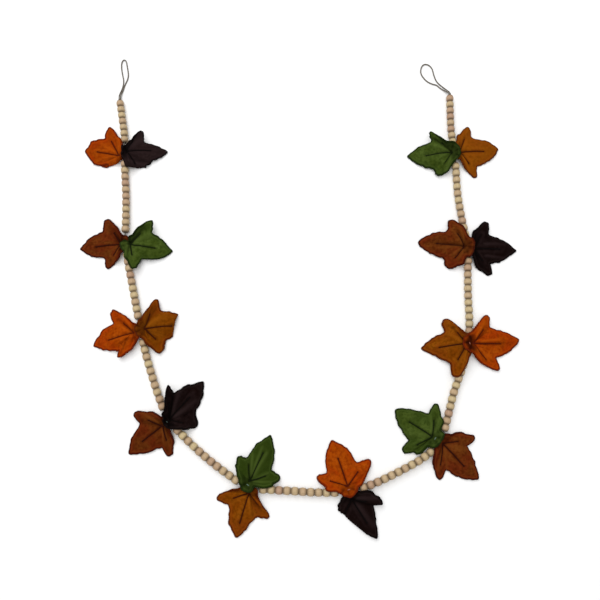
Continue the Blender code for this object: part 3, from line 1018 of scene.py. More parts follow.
HALF_CUT = (
    Cut(0, 81), Cut(4, 77), Cut(9, 71.2), Cut(13.5, 66.6), Cut(17, 62.8), Cut(19.5, 58.6),
    Cut(24, 55.2), Cut(27.5, 51.2), Cut(31, 47.6), Cut(35, 44.6), Cut(39, 43.2), Cut(43, 45.8),
    Cut(49, 52), Cut(54, 57.9), Cut(58, 59.4), Cut(62, 58.1), Cut(66, 53.4), Cut(70, 46.6),
    Cut(74, 40), Cut(79, 35), Cut(84, 30), Cut(91, 23.6), Cut(100, 19.2), Cut(114, 17.6),
    Cut(132, 16.8), Cut(152, 16.8), Cut(168, 17), Cut(180, 17),
)
# The flat angles and radii of a half leaf's tip, notch, side lobe, outer edge and base.
NOTCH_ANGLE, VEIN_ANGLE, OUTER_ANGLE = 37.0, 58.0, 84.0
ANCHOR_RADIUS = {0.0: 81.0, NOTCH_ANGLE: 42.5, VEIN_ANGLE: 59.0, OUTER_ANGLE: 31.0, 180.0: 17.0}
GATHER = 0.65  # the most that a lobe's outer edge draws in
# Rises, hollows, painted shade and painted highlight beside the veins, over the middle, along the
# neck and round the base.
VEIN_HOLLOW = Bank(1.0, 1.7, fade=0.4)
VEIN_BANK = Bank(0.45, 2.4, off=4.4, fade=0.5)
VEIN_SHADE = Bank(0.65, 2.2, fade=0.35)
BANK_HIGHLIGHT = Bank(0.3, 2.2, off=4.8, fade=0.5)
MIDDLE_SHADE = Bank(0.7, 5.5)
NECK_RIDGE = Bank(1.3, 2.8)
GATHERS = Bank(1.0, 6.0, off=12.0)
CREASE_FADE = 0.45  # the share of a crease that is lost at its end
WAVES = (11.0, 15.0, 22.0)  # how long the slow waves in the felt are
WAVE_HEIGHT = 0.014  # by the wave's length

LEAVES = (
    Leaf(1, Layer.UNDER, Dye.ORANGE, -311, 251.5, 167.8, 0.93, 12, 63.7,
         Side(68, 46, 43.7, 30.5, 0.0), Side(55.7, 59, 37.7, 44, 0.17), Fold(120, 6),
         tone=-0.25,
         veins=(0, 52, 58, 0, -50, 34),
         swells=(Swell(-88, 4.5, 8), Swell(-45, 3, 5), Swell(-30, 1.5, 4), Swell(-18, 5, 7),
                 Swell(22, 6.5, 5), Swell(30, 2.5), Swell(42, -10, 6)),
         creases=(Crease(-40, 8, -24, 40, -1.3, 3.5), Crease(16, 1, 16, 34, -1.4, 2.2),
                  Crease(30, 1, 28, 34, 1.2, 2), Crease(45, 2, 38, 30, -1.3, 2),
                  Crease(-90, 8, -76, 36, -1.4, 4))),
    Leaf(1, Layer.OVER, Dye.PLUM, -298, 258, 3, 0.92, 7.5, 69,
         Side(49, 43, 24, 35, 1.0), Side(58, 54, 37, 39, 0.0), Fold(-88.3, 25),
         tone=0.45, neck=0.9,
         swells=(Swell(-95, 4, 11), Swell(-24, -3, 5), Swell(-16, -5, 8), Swell(10, -1.5, 5),
                 Swell(30, -2, 7), Swell(81, -5.5, 8), Swell(108, -6.5, 16), Swell(135, 1, 14),
                 Swell(-90, 4, 5)),
         creases=(Crease(84, 3, 66, 32, 4.5, 6.5), Crease(46, 6, 42, 38, -3.0, 5),
                  Crease(-60, 15, -24, 50, 1.3, 2.4), Crease(-76, 19, -30, 52, -1.3, 2.0),
                  Crease(150, 2, 160, 14, 2.0, 3))),
    Leaf(2, Layer.UNDER, Dye.RUST, -300, 93, -175, 0.91, 14, 69,
         Side(55, 45, 33, 34, 0.4), Side(63, 54, 41, 40, 0.2),
         swells=(Swell(-57, -2, 4), Swell(-20, 1.5, 3), Swell(-26, -1.5, 3), Swell(20, 2, 4),
                 Swell(88, 3, 7), Swell(-138, 4.5, 17)),
         neck=0.9,
         creases=(Crease(-84, 5, -64, 27, 3.5, 4.5), Crease(-40, 8, -50, 34, 1.3, 2.6),
                  Crease(36, 8, 32, 38, -1.2, 3), Crease(76, 6, 68, 34, -1.1, 2.6))),
    Leaf(2, Layer.OVER, Dye.GREEN, -283, 92, -8, 0.92, 16, 70,
         Side(55, 53, 38, 40, 0.2), Side(70, 42, 43, 30, 0.0),
         swells=(Swell(-76, -5, 8), Swell(-42, 3, 4), Swell(12, -2.5), Swell(25, -2, 4),
                 Swell(43, 3, 5), Swell(95, -3, 8), Swell(134, -8, 19)),
         neck=0.3,
         creases=(Crease(100, 5, 62, 36, 5.0, 6), Crease(112, 12, 80, 32, 2.4, 5),
                  Crease(36, 8, 36, 38, -2.4, 5),
                  Crease(-104, 5, -84, 30, -1.6, 2.4), Crease(-90, 5, -74, 32, 1.4, 2.2),
                  Crease(-58, 6, -62, 30, -1.2, 3))),
    Leaf(3, Layer.UNDER, Dye.ORANGE, -271, -56, -162.9, 0.93, 14, 69.4,
         Side(42, 46.6, 27.1, 39.4, 0.0), Side(60.2, 55.3, 40.3, 38.7, 0.37),
         neck=0.55, veins=(0, 50, 60, 0, -56, 27),
         swells=(Swell(-84, 3, 9), Swell(-57, -2, 4), Swell(-20, 2, 3), Swell(-14, -2.5, 4),
                 Swell(32, 1.5, 6), Swell(50, -8, 5), Swell(66, -1.5, 6), Swell(92, 2.5, 8)),
         creases=(Crease(-70, 4, -57, 34, 2.2, 3.2), Crease(-96, 8, -72, 36, -1.8, 3),
                  Crease(-36, 6, -40, 34, -1.3, 3), Crease(44, 14, 60, 46, 1.6, 3))),
    Leaf(3, Layer.OVER, Dye.OCHRE, -253, -50, 11, 0.92, 15, 70,
         Side(60, 53, 40, 38, 0.5), Side(66, 46, 37, 39, 0.2), Fold(-26, 44),
         tone=-0.3, neck=0.6,
         veins=(-4, 52, 58, 30, -49, 31),
         swells=(Swell(-73, -2, 6), Swell(-53, 4.5, 4), Swell(-20, 3, 3), Swell(65, -1.5, 6),
                 Swell(92, 2, 8)),
         creases=(Crease(66, 5, 60, 36, 2.6, 4), Crease(48, 8, 50, 40, 2.0, 3),
                  Crease(78, 10, 68, 40, 1.2, 5), Crease(26, 8, 22, 44, -2.0, 5),
                  Crease(100, 6, 78, 30, -1.6, 3), Crease(-34, 10, -30, 34, -1.0, 3))),
    Leaf(4, Layer.UNDER, Dye.RUST, -218, -205, -140, 0.92, 14, 67,
         Side(64, 49, 49, 33.6, 0.0), Side(62, 50, 43, 35.5, 0.0),
         tone=-0.3, neck=0.7,
         veins=(-1, 48, 63, 29, -58, 29),
         swells=(Swell(14, -5.5, 8), Swell(27, -4, 6), Swell(-25, -2.5, 4), Swell(-92, 5, 10),
                 Swell(88, 2.5, 9)),
         creases=(Crease(-36, 5, -46, 38, 1.8, 3.5), Crease(-78, 8, -66, 38, -1.3, 3),
                  Crease(44, 6, 48, 32, -1.4, 2.6), Crease(74, 6, 66, 38, -1.2, 2.6))),
    Leaf(4, Layer.OVER, Dye.PLUM, -207, -197, 50, 1.0, 10, 80,
         Side(41, 54, 30, 43, 1.0), Side(61.5, 45, 32, 41, 0.5),
         swells=(Swell(-68, -4.5, 9), Swell(15, -2, 3), Swell(20, 3, 3), Swell(75, -2, 5),
                 Swell(92, -5, 11), Swell(135, -6, 24)),
         creases=(Crease(50, 4, 42, 44, 5.5, 6), Crease(70, 6, 60, 50, 2.6, 8),
                  Crease(22, 8, 26, 46, -2.4, 4),
                  Crease(-20, 12, -14, 52, -1.4, 4), Crease(-40, 24, -30, 34, 1.4, 1.8),
                  Crease(-50, 24, -44, 36, 1.2, 1.8), Crease(150, 2, 165, 16, 1.6, 3)),
         tone=-0.5, neck=0.9, tack="#3E4A46"),
    Leaf(5, Layer.UNDER, Dye.OCHRE, -79, -308, -106, 0.91, 14, 69,
         Side(57, 46, 31, 38, 1.0), Side(65, 51, 44, 37, 0.3),
         neck=0.5, veins=(-1, 56, 57, 29, -50, 30),
         swells=(Swell(20, -5.5, 9), Swell(-28, -3, 8), Swell(55, 3, 4), Swell(77, -4),
                 Swell(94, -2, 9), Swell(110, -2, 14)),
         creases=(Crease(54, 4, 56, 36, 2.4, 4), Crease(24, 8, 26, 42, -1.6, 4),
                  Crease(-40, 8, -38, 36, -1.2, 3.2), Crease(-84, 8, -70, 34, -1.2, 2.6))),
    Leaf(5, Layer.OVER, Dye.GREEN, -78, -290, 66, 0.97, 17, 76,
         Side(47, 41, 31, 36, 0.0), Side(59, 47, 38, 37, 0.2),
         tone=-0.85,
         veins=(-1, 52, 34, 29, -46, 31),
         swells=(Swell(-78, 2.5, 5), Swell(-89, 4, 8), Swell(20, 3, 3), Swell(46, -2.5, 5),
                 Swell(97, 3, 9), Swell(-120, -6, 14)),
         creases=(Crease(34, 2, 33, 28, 3.4, 4.2), Crease(19, 8, 22, 44, -1.8, 3),
                  Crease(7, 12, 5, 56, -1.2, 2.6), Crease(-8, 12, -7, 52, -1.4, 2.6),
                  Crease(-44, 6, -42, 34, -1.5, 2.4), Crease(-78, 7, -68, 36, -1.2, 2.4),
                  Crease(150, 2, 165, 17, 1.8, 2.2), Crease(-150, 3, -165, 17, -1.4, 2.2)),
         neck=0.5, tack="#5E7262"),
    Leaf(6, Layer.UNDER, Dye.PLUM, 80, -317, -57, 0.93, 14, 70,
         Side(49, 47.5, 41, 34, -0.5), Side(58, 54, 37, 39, 0.0), Fold(-73.5, 23.6),
         swells=(Swell(-8, -4, 4.5), Swell(12, -6.5, 8), Swell(24, -3.5, 6), Swell(86, 3.5, 8),
                 Swell(-103, 6, 10), Swell(-90, 1.5, 5)),
         tone=-0.65,
         creases=(Crease(34, 8, 40, 40, 2.4, 4), Crease(8, 12, 6, 54, -1.4, 5),
                  Crease(72, 10, 66, 42, -1.6, 3))),
    Leaf(6, Layer.OVER, Dye.ORANGE, 73.8, -297, 109.1, 0.97, 17, 73.8,
         Side(54.8, 48.6, 38.8, 36.8, 0.0), Side(61.9, 52.8, 40.8, 37.6, 0.0),
         veins=(0, 50, 59, 35, -53, 31),
         swells=(Swell(-97, 5, 8), Swell(-67, -2, 5), Swell(-20, 2, 4), Swell(10, -2, 3),
                 Swell(87, 8, 6)),
         creases=(Crease(125, 10, -125, 10, 1.0, 1.5), Crease(140, 13, -140, 13, -1.0, 1.8),
                  Crease(30, 6, 34, 38, -1.0, 4), Crease(-32, 6, -34, 38, -1.0, 4)),
         tack="#A0624C"),
    Leaf(7, Layer.UNDER, Dye.RUST, 225, -233, -45, 1.0, 15, 77,
         Side(54, 52, 38, 39, 0.2), Side(51, 55, 38, 40, 0.4),
         veins=(-2.5, 50, 58, 29, -63, 36),
         swells=(Swell(-89, 9.5, 13), Swell(-71, 3, 5), Swell(10, -3, 10), Swell(21, -1.5, 5),
                 Swell(86, 5, 12)),
         creases=(Crease(66, 8, 58, 30, 1.8, 4), Crease(30, 8, 32, 42, -1.3, 4),
                  Crease(-34, 8, -36, 40, -1.3, 3.4), Crease(-78, 8, -66, 42, -1.3, 3))),
    Leaf(7, Layer.OVER, Dye.GREEN, 208, -222, 143, 0.93, 15, 70,
         Side(60, 50, 44, 36, 0.0), Side(63, 52, 44, 36, 0.2),
         veins=(3, 50, 62, 33, -54, 30),
         swells=(Swell(-90, 8, 8), Swell(-18, -4, 12), Swell(18, -1.5, 8), Swell(68, 4),
                 Swell(87, 10, 9), Swell(-138, 3, 20), Swell(140, 2, 20)),
         creases=(Crease(-66, 3, -59, 30, 2.4, 3), Crease(-90, 7, -74, 34, -1.8, 3),
                  Crease(-40, 6, -44, 34, -1.6, 3), Crease(20, 8, 24, 40, -1.0, 5),
                  Crease(150, 3, 140, 15, 1.8, 2.4), Crease(-150, 4, -140, 15, 1.6, 2.4)),
         tack="#66765A"),
    Leaf(8, Layer.UNDER, Dye.OCHRE, 270, -74, -174, 0.94, 14, 72,
         Side(64, 58, 40, 40, 0.4), Side(58, 53, 33, 39, 0.5),
         neck=0.55, veins=(2, 52, 50, 33, -58, 27),
         swells=(Swell(-100, -2, 8), Swell(-63, -2, 5), Swell(-48, 3.5, 4), Swell(14, -6, 7),
                 Swell(25, -2, 4), Swell(37, 2, 5), Swell(50, 4), Swell(78, 2, 7)),
         creases=(Crease(-64, 3, -58, 34, 2.2, 3), Crease(5, 8, 4, 46, -1.4, 2.6),
                  Crease(50, 6, 54, 36, -1.5, 2.4), Crease(74, 8, 66, 38, -1.3, 2.4),
                  Crease(-34, 8, -38, 36, -1.4, 3))),
    Leaf(8, Layer.OVER, Dye.ORANGE, 279, -74, 4, 1.0, 17, 79,
         Side(54, 56, 33, 42, 0.4), Side(48, 59, 33, 45, 0.4),
         veins=(-3.5, 48, 52, 30, -66, 35),
         swells=(Swell(-84, 8.5, 13), Swell(-68, 1.5, 4), Swell(15, -3, 5), Swell(27, -3, 5),
                 Swell(46, -4.5, 6), Swell(63, -1.5, 8), Swell(80, -1.5, 7)),
         creases=(Crease(90, 4, 40, 22, 2.0, 3.4), Crease(6, 14, 5, 48, -1.4, 2.2),
                  Crease(66, 10, 60, 40, -1.6, 3.4), Crease(-44, 14, -52, 38, -1.3, 2.6),
                  Crease(170, 2, 175, 16, 1.4, 2.2)),
         neck=0.95, tack="#8E6044"),
    Leaf(9, Layer.UNDER, Dye.PLUM, 291, 86, -1, 0.93, 14, 71,
         Side(63, 54, 44, 37, 0.0), Side(56, 51, 41, 36, 0.1),
         swells=(Swell(-92, 7, 7), Swell(-80, 5, 8), Swell(-67, 2.5, 4), Swell(-12, -2),
                 Swell(18, -3.5, 9), Swell(30, -2, 8), Swell(88, 5, 10)),
         tone=-0.6,
         creases=(Crease(84, 10, 66, 38, 2.0, 4), Crease(-80, 10, -66, 38, 2.0, 4),
                  Crease(20, 20, 8, 56, -1.2, 2.4), Crease(-30, 24, -14, 56, -1.2, 2.2))),
    Leaf(9, Layer.OVER, Dye.RUST, 274, 89, 173, 0.97, 17, 77.5,
         Side(60, 43, 36, 37, 0.0), Side(60, 50, 41, 38, 0.0),
         veins=(0, 49, 56, 36, -51, 29),
         swells=(Swell(-138, 3, 16), Swell(-68, -2.5, 5), Swell(-48, 4.5), Swell(-28, -4.5, 5),
                 Swell(-13, -3, 5), Swell(12, -2, 5), Swell(47, 4.5, 7), Swell(90, 7),
                 Swell(122, 4, 16)),
         creases=(Crease(180, 1, 180, 17, 2.6, 1.8), Crease(-64, 3, -58, 34, 2.2, 2.6),
                  Crease(-78, 7, -68, 36, -1.8, 2.4), Crease(-42, 6, -46, 34, -1.8, 2.4),
                  Crease(0, 4, -3, 52, 1.6, 4), Crease(10, 8, 10, 44, -1.2, 3),
                  Crease(58, 3, 58, 30, 1.6, 2.6), Crease(78, 8, 68, 32, -1.6, 2.4),
                  Crease(40, 6, 42, 30, -1.4, 2.4))),
    Leaf(10, Layer.UNDER, Dye.OCHRE, 276, 259, 6, 0.92, 14, 68,
         Side(64, 49.5, 49, 36, 0.1), Side(65, 51, 46, 36, 0.5),
         tone=0.35,
         veins=(-3.5, 50, 58, 30, -53, 30),
         swells=(Swell(-86, 2.5, 8), Swell(-40, 3, 4), Swell(25, -7.5, 7), Swell(45, 3.5),
                 Swell(90, 7, 8)),
         creases=(Crease(70, 4, 60, 32, 1.8, 2.6), Crease(38, 8, 42, 36, -1.2, 3.4),
                  Crease(-48, 6, -58, 32, 1.6, 2.4), Crease(-76, 8, -68, 36, -1.6, 2.6))),
    Leaf(10, Layer.OVER, Dye.GREEN, 261, 256, -178, 0.96, 14, 75,
         Side(51, 46, 41, 39, 0.0), Side(43, 51, 33, 40, 1.0),
         neck=0.65, veins=(4.5, 50, 58, 29, -58, 29),
         swells=(Swell(-85, -5, 12), Swell(-76, -3, 6), Swell(-44, 5), Swell(-25, -6, 9),
                 Swell(-10, -1.5, 4), Swell(16, -1.5, 5), Swell(40, 3), Swell(77, 4, 10)),
         creases=(Crease(-80, 3, -47, 42, 5.0, 5), Crease(-84, 12, -62, 46, 2.2, 7),
                  Crease(-20, 8, -26, 44, -2.2, 5),
                  Crease(0, 6, 0, 50, 1.2, 3.4), Crease(10, 10, 8, 48, -1.0, 2.6),
                  Crease(60, 5, 60, 34, 1.8, 3.4), Crease(84, 8, 74, 34, -1.4, 3),
                  Crease(160, 3, 170, 15, 1.8, 2.4), Crease(-150, 4, -160, 15, -1.6, 2.6))),
)


@dataclass
class LeafMaker:
    """Cuts, lays and stitches one felt leaf over the solid that stands for it."""

    leaf: Leaf
    below: BVHTree | None = None  # the felt of the leaf that lies under this one
    columns: int = 240
    rings: tuple[float, ...] = (
        0.04, 0.08, 0.13, 0.18, 0.235, 0.29, 0.345, 0.4, 0.455, 0.51, 0.565, 0.62, 0.675, 0.73,
        0.78, 0.83, 0.87, 0.905, 0.935, 0.96, 0.98, 1.0,
    )
    unevenness: float = 0.007  # how far a hand-cut outline strays from the common one
    stray: float = 0.28
    smoothing: int = 8
    clearance: float = 0.35  # over the leaf under it
    edge_step: float = 0.65
    edge_stitch: float = 2.6
    edge_width: float = 1.4
    edge_height: float = 1.3
    edge_inset: float = 0.95  # from the cut line to the middle of the thread
    edge_slant: float = 0.9
    edge_sides: int = 8
    vein_step: float = 0.5
    vein_stitch: float = 3.4
    vein_sides: int = 7
    tack_place: float = -6.0  # behind the leaf's centre
    tack_half: float = 2.2
    tack_radius: float = 0.85
    tack_points: int = 19
    tack_sides: int = 8

    def __post_init__(self) -> None:
        """Cut the flat leaf and lay its middle surface."""
        self.rng = np.random.default_rng(7 * self.leaf.pair + len(self.leaf.layer.value))
        self.cut()
        self.lay()

    # -- the flat leaf --
    def cut(self) -> None:
        """Cut the outline: angles and radii of points that are even along it."""
        rows = [(-c.angle, c.radius) for c in reversed(HALF_CUT[1:])]
        rows += [(c.angle, c.radius) for c in HALF_CUT]
        angles, radii = np.array(rows, float).T
        free = 1 + self.unevenness * self.rng.standard_normal(len(radii))
        free[0] = free[-1] = 1.0
        radii = radii * self.leaf.size * free
        for swell in self.leaf.swells:
            off = (angles - swell.angle + 180) % 360 - 180
            radii = radii + swell.amount * hump(off, swell.spread)
        curve = through(flat_points(angles, radii), 8)[:-1]
        closed = np.vstack([curve, curve[:1]])
        along = distances_along(closed)
        self.perimeter = float(along[-1])
        marks = np.linspace(0, self.perimeter, self.columns + 1)[:-1]
        x = np.interp(marks, along, closed[:, 0])
        y = np.interp(marks, along, closed[:, 1])
        uneven = 1 + self.wander(marks) / np.hypot(x, y)
        x, y = x * uneven, y * uneven
        turns = np.degrees(np.unwrap(np.arctan2(y, x)))
        turns -= 360.0 * round(turns[self.columns // 2] / 360.0)
        self.angles = np.maximum.accumulate(turns + 1e-4 * np.arange(self.columns))
        self.radii = np.hypot(x, y)
        self.area = 0.5 * abs(float(np.sum(x * np.roll(y, -1) - y * np.roll(x, -1))))

    def wander(self, along: np.ndarray) -> np.ndarray:
        """Stray to and fro as a hand-cut edge does, in waves of 9 to 30 mm.

        Args:
            along: Distances along the edge.

        Returns:
            How far the edge strays at each.
        """
        waves = np.rint(self.perimeter / np.array([9.0, 12.0, 17.0, 30.0]))
        phases = self.rng.uniform(0, math.tau, len(waves))
        turns = along[:, None] / self.perimeter * math.tau * waves + phases
        return self.stray * np.sin(turns).sum(axis=1)

    def folded(
        self, angle: np.ndarray, radius: np.ndarray
    ) -> tuple[np.ndarray, np.ndarray, np.ndarray]:
        """Fold flat points under the leaf's fold line.

        Args:
            angle: Their angles in degrees.
            radius: Their radii.

        Returns:
            The angles and radii of where they come, and how far under the leaf they lie.
        """
        if self.leaf.fold is None:
            return angle, radius, np.zeros_like(radius)
        flat = flat_points(angle, radius)
        normal = flat_points(self.leaf.fold.angle, 1.0)
        past = np.maximum(flat @ normal - self.leaf.fold.distance, 0.0)
        turn = np.minimum(past / FOLD_RADIUS, math.pi)
        back = FOLD_RADIUS * np.sin(turn) - np.maximum(past - math.pi * FOLD_RADIUS, 0.0)
        drop = FOLD_RADIUS * (1 - np.cos(turn))
        moved, reach = to_polar(flat + (back - past)[..., None] * normal)
        return np.where(past > 0, moved, angle), np.where(past > 0, reach, radius), drop

    def in_plan(self, angle: np.ndarray, radius: np.ndarray) -> tuple[np.ndarray, np.ndarray]:
        """Lay flat points out in plan, lobe by lobe.

        Args:
            angle: Their angles in degrees.
            radius: Their radii.

        Returns:
            Their plan coordinates.
        """
        leaf = self.leaf
        rows = [(0.0, 0.0, leaf.reach / (ANCHOR_RADIUS[0.0] * leaf.size))]
        for sign, side in ((-1, leaf.right), (1, leaf.left)):
            spread = (OUTER_ANGLE - VEIN_ANGLE) * (1 - GATHER * side.gather)
            outer = ANCHOR_RADIUS[OUTER_ANGLE] * leaf.size
            for at, turn, reach in (
                (NOTCH_ANGLE, side.notch_turn, side.notch_reach),
                (VEIN_ANGLE, side.turn, side.reach),
                (OUTER_ANGLE, side.turn + spread, outer),
                (180.0, 180.0, leaf.base),
            ):
                rows.append((sign * at, sign * turn, reach / (ANCHOR_RADIUS[at] * leaf.size)))
        rows.sort()
        anchors = np.array(rows)
        angle = (angle + 180.0) % 360.0 - 180.0
        place = np.clip(np.searchsorted(anchors[:, 0], angle, side="right"), 1, len(rows) - 1)
        low, high = anchors[place - 1], anchors[place]
        t = (angle - low[..., 0]) / (high[..., 0] - low[..., 0])
        turn = low[..., 1] + (high[..., 1] - low[..., 1]) * t
        share = low[..., 2] + (high[..., 2] - low[..., 2]) * smooth_step(t)
        heading = np.radians(leaf.heading + turn)
        return leaf.x + radius * share * np.cos(heading), leaf.y + radius * share * np.sin(heading)

    # -- its lie --
    def solid_top(self, tree: BVHTree, x: float, y: float) -> float:
        """Find how high the solid is at a plan point, or at the nearest place inwards of it.

        Args:
            tree: The solid, ready for rays.
            x: The point's x.
            y: The point's y.

        Returns:
            The height of its upper face.
        """
        for inward in np.linspace(1.0, 0.4, 31):
            across, up = (x - self.leaf.x) * inward, (y - self.leaf.y) * inward
            top = top_at(tree, self.leaf.x + across, self.leaf.y + up)
            if top is not None:
                return top
        return FELT

    def lay(self) -> None:
        """Lay the felt's middle surface as the solid lies, then give it its veins and creases."""
        tree = ray_tree(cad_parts[f"leaf_{self.leaf.name}"].data)
        angle = np.broadcast_to(self.angles, (len(self.rings), self.columns))
        radius = np.array(self.rings)[:, None] * self.radii
        moved, reach, drop = self.folded(angle, radius)
        x, y = self.in_plan(moved, reach)
        tops = np.array([self.solid_top(tree, a, b) for a, b in zip(x.ravel(), y.ravel())])
        heights = tops.reshape(x.shape)
        for _ in range(self.smoothing):  # evens out the solid's facets
            past_rim = 2 * heights[-1:] - heights[-2:-1]
            heights = 0.4 * heights + 0.15 * beside(heights, past_rim)
        self.flat, self.flat_radius = flat_points(angle, radius), radius
        self.vein_away, self.vein_out = self.vein_distance()
        self.creased = self.crease_shares()
        z = heights - FELT / 2 - drop + self.relief(np.radians(angle), drop)
        z = np.maximum(z, FELT / 2 + 0.02)
        self.middle = np.stack([x, y, z], axis=-1)
        self.clear_below()
        self.centre = np.array([self.leaf.x, self.leaf.y, self.middle[0, :, 2].mean()])
        self.find_normals()

    def vein_distance(self) -> tuple[np.ndarray, np.ndarray]:
        """Measure the flat points from the nearest vein.

        Returns:
            How far each is from it, and how far out along it, from nought to one.
        """
        nearest, out = np.full(self.flat_radius.shape, 1e9), np.zeros(self.flat_radius.shape)
        for turn, length in self.veins():
            away, along = from_line(self.flat, np.zeros(2), flat_points(turn, length))
            closer = away < nearest
            nearest, out = np.where(closer, away, nearest), np.where(closer, along, out)
        return nearest, out

    def veins(self) -> list[tuple[float, float]]:
        """The angle and the length of each vein."""
        numbers = self.leaf.veins
        return [(turn, self.leaf.size * run) for turn, run in zip(numbers[::2], numbers[1::2]) if run]

    def crease_shares(self) -> list[np.ndarray]:
        """Find how much of each of the leaf's creases the flat points have.

        Returns:
            For each crease, a share from nought to one for each point.
        """
        shares = []
        for crease in self.leaf.creases:
            start = flat_points(crease.angle, crease.start)
            run = flat_points(crease.end_angle, crease.end) - start
            away, along = from_line(self.flat, start, run)
            shares.append((1 - CREASE_FADE * along) * hump(away, crease.width))
        return shares

    def relief(self, turn: np.ndarray, drop: np.ndarray) -> np.ndarray:
        """What veins, creases, slow waves, gathers and the soft edge add to the felt's height.

        Args:
            turn: The flat points' angles in radians.
            drop: How far under the leaf they are folded.

        Returns:
            The height that each gains.
        """
        height = VEIN_BANK.at(self.vein_away, self.vein_out)
        height = height - VEIN_HOLLOW.at(self.vein_away, self.vein_out)
        for crease, share in zip(self.leaf.creases, self.creased):
            height = height - crease.depth * share
        x, y = self.flat[..., 0], self.flat[..., 1]
        for span in WAVES:
            way, phase = self.rng.uniform(0, math.tau, 2)
            wave = math.tau / span * (x * math.cos(way) + y * math.sin(way)) + phase
            wave = WAVE_HEIGHT * span * np.sin(wave)
            height = height + wave * smooth_step(self.flat_radius / 20)
        # Seven gathers go round the base, and the rim ruffles in five waves and in eleven.
        phase = self.rng.uniform(0, math.tau, 3)
        self.gathers = np.sin(7 * turn + phase[0]) * GATHERS.at(self.flat_radius)
        self.gathers = self.gathers * smooth_step((4 - x) / 12)
        ruffle = 0.7 * np.sin(5 * turn + phase[1]) + 0.5 * np.sin(11 * turn + phase[2])
        ruffle = ruffle * (self.flat_radius / self.radii) ** 3 * (drop == 0)
        neck = NECK_RIDGE.at(y) * smooth_step((-x - 3.0) / 6.0)
        return height + 0.8 * self.gathers + ruffle + neck

    def clear_below(self) -> None:
        """Lift the felt off the leaf under it."""
        if self.below is None:
            return
        lift = np.zeros(self.middle.shape[:2])
        for r, c in np.ndindex(lift.shape):
            x, y, z = self.middle[r, c]
            top = top_at(self.below, x, y)
            if top is not None:
                lift[r, c] = max(0.0, top + self.clearance + FELT / 2 - z)
        for _ in range(6):  # spreads the lift round its edges
            lift = np.maximum(lift, 0.25 * beside(lift, lift[-1:]))
        self.middle[:, :, 2] += lift

    def find_normals(self) -> None:
        """Find the middle surface's normals, ring by ring."""
        inner = np.vstack([np.broadcast_to(self.centre, (1, self.columns, 3)), self.middle[:-1]])
        outer = np.vstack([self.middle[1:], self.middle[-1:]])
        along = np.roll(self.middle, -1, axis=1) - np.roll(self.middle, 1, axis=1)
        normals = unit(np.cross(outer - inner, along))
        self.normals = normals * (1.0 if normals[0, :, 2].mean() > 0 else -1.0)

    def on_surface(self, angle: np.ndarray, radius: np.ndarray) -> tuple[np.ndarray, np.ndarray]:
        """Find flat points on the laid felt's middle surface.

        Args:
            angle: Their angles in degrees.
            radius: Their radii.

        Returns:
            Their places and the surface's normals there.
        """
        spread = np.concatenate([self.angles, [self.angles[0] + 360.0]])
        turned = (angle - spread[0]) % 360.0 + spread[0]
        column = np.interp(turned, spread, np.arange(self.columns + 1))
        edge = np.interp(turned, spread, np.concatenate([self.radii, self.radii[:1]]))
        ring = np.interp(radius / edge, (0.0, *self.rings), np.arange(len(self.rings) + 1))
        low_c = np.floor(column).astype(int)
        low_r = np.minimum(np.floor(ring).astype(int), len(self.rings) - 1)
        c, r = (column - low_c)[:, None], (ring - low_r)[:, None]
        left, right = low_c % self.columns, (low_c + 1) % self.columns
        found = []
        for field, first in ((self.middle, self.centre), (self.normals, (0.0, 0.0, 1.0))):
            grid = np.vstack([np.broadcast_to(first, (1, self.columns, 3)), field])
            a = grid[low_r, left] * (1 - c) + grid[low_r, right] * c
            b = grid[low_r + 1, left] * (1 - c) + grid[low_r + 1, right] * c
            found.append(a * (1 - r) + b * r)
        return found[0], unit(found[1])

    def outline(self, inset: float = 0.0) -> np.ndarray:
        """Give the flat cut line's points.

        Args:
            inset: How far they are moved inwards.

        Returns:
            The points.
        """
        points = flat_points(self.angles, self.radii)
        run = unit(np.roll(points, -1, axis=0) - np.roll(points, 1, axis=0))
        return points + inset * np.column_stack([-run[:, 1], run[:, 0]])

    def rim_distance(self) -> np.ndarray:
        """Measure the flat points from the cut line.

        Returns:
            How far each is from it.
        """
        edge = self.outline()
        nearest = np.full(self.flat_radius.shape, 1e9)
        for start, run in zip(edge, np.roll(edge, -1, axis=0) - edge):
            nearest = np.minimum(nearest, from_line(self.flat, start, run)[0])
        return nearest

    def shades(self) -> dict[str, np.ndarray]:
        """How much painted shade and painted highlight the felt gets, for each of its rings' points.

        Returns:
            Painted shade, painted highlight with any paler dye, distances from the cut line and extra
            depth of dye.
        """
        # Stitches pull hollows along the veins; painted shade darkens them, the middle, the gathered
        # neck behind them and the gathers' hollows.
        painted_shade = VEIN_SHADE.at(self.vein_away, self.vein_out)
        painted_shade = np.maximum(painted_shade, MIDDLE_SHADE.at(self.flat_radius))
        behind = smooth_step((7 - self.flat[..., 0]) / 12)
        near = smooth_step((19 - self.flat_radius) / 10)
        painted_shade = np.maximum(painted_shade, self.leaf.neck * behind * near)
        painted_shade = painted_shade + 0.3 * np.clip(-self.gathers, 0, 1)
        # Painted highlight makes the felt's banks beside the veins, and its gathers and ridges,
        # paler.
        painted_highlight_and_pale_dye = BANK_HIGHLIGHT.at(self.vein_away, self.vein_out)
        painted_highlight_and_pale_dye = np.maximum(painted_highlight_and_pale_dye, 0.25 * np.clip(self.gathers, 0, 1))
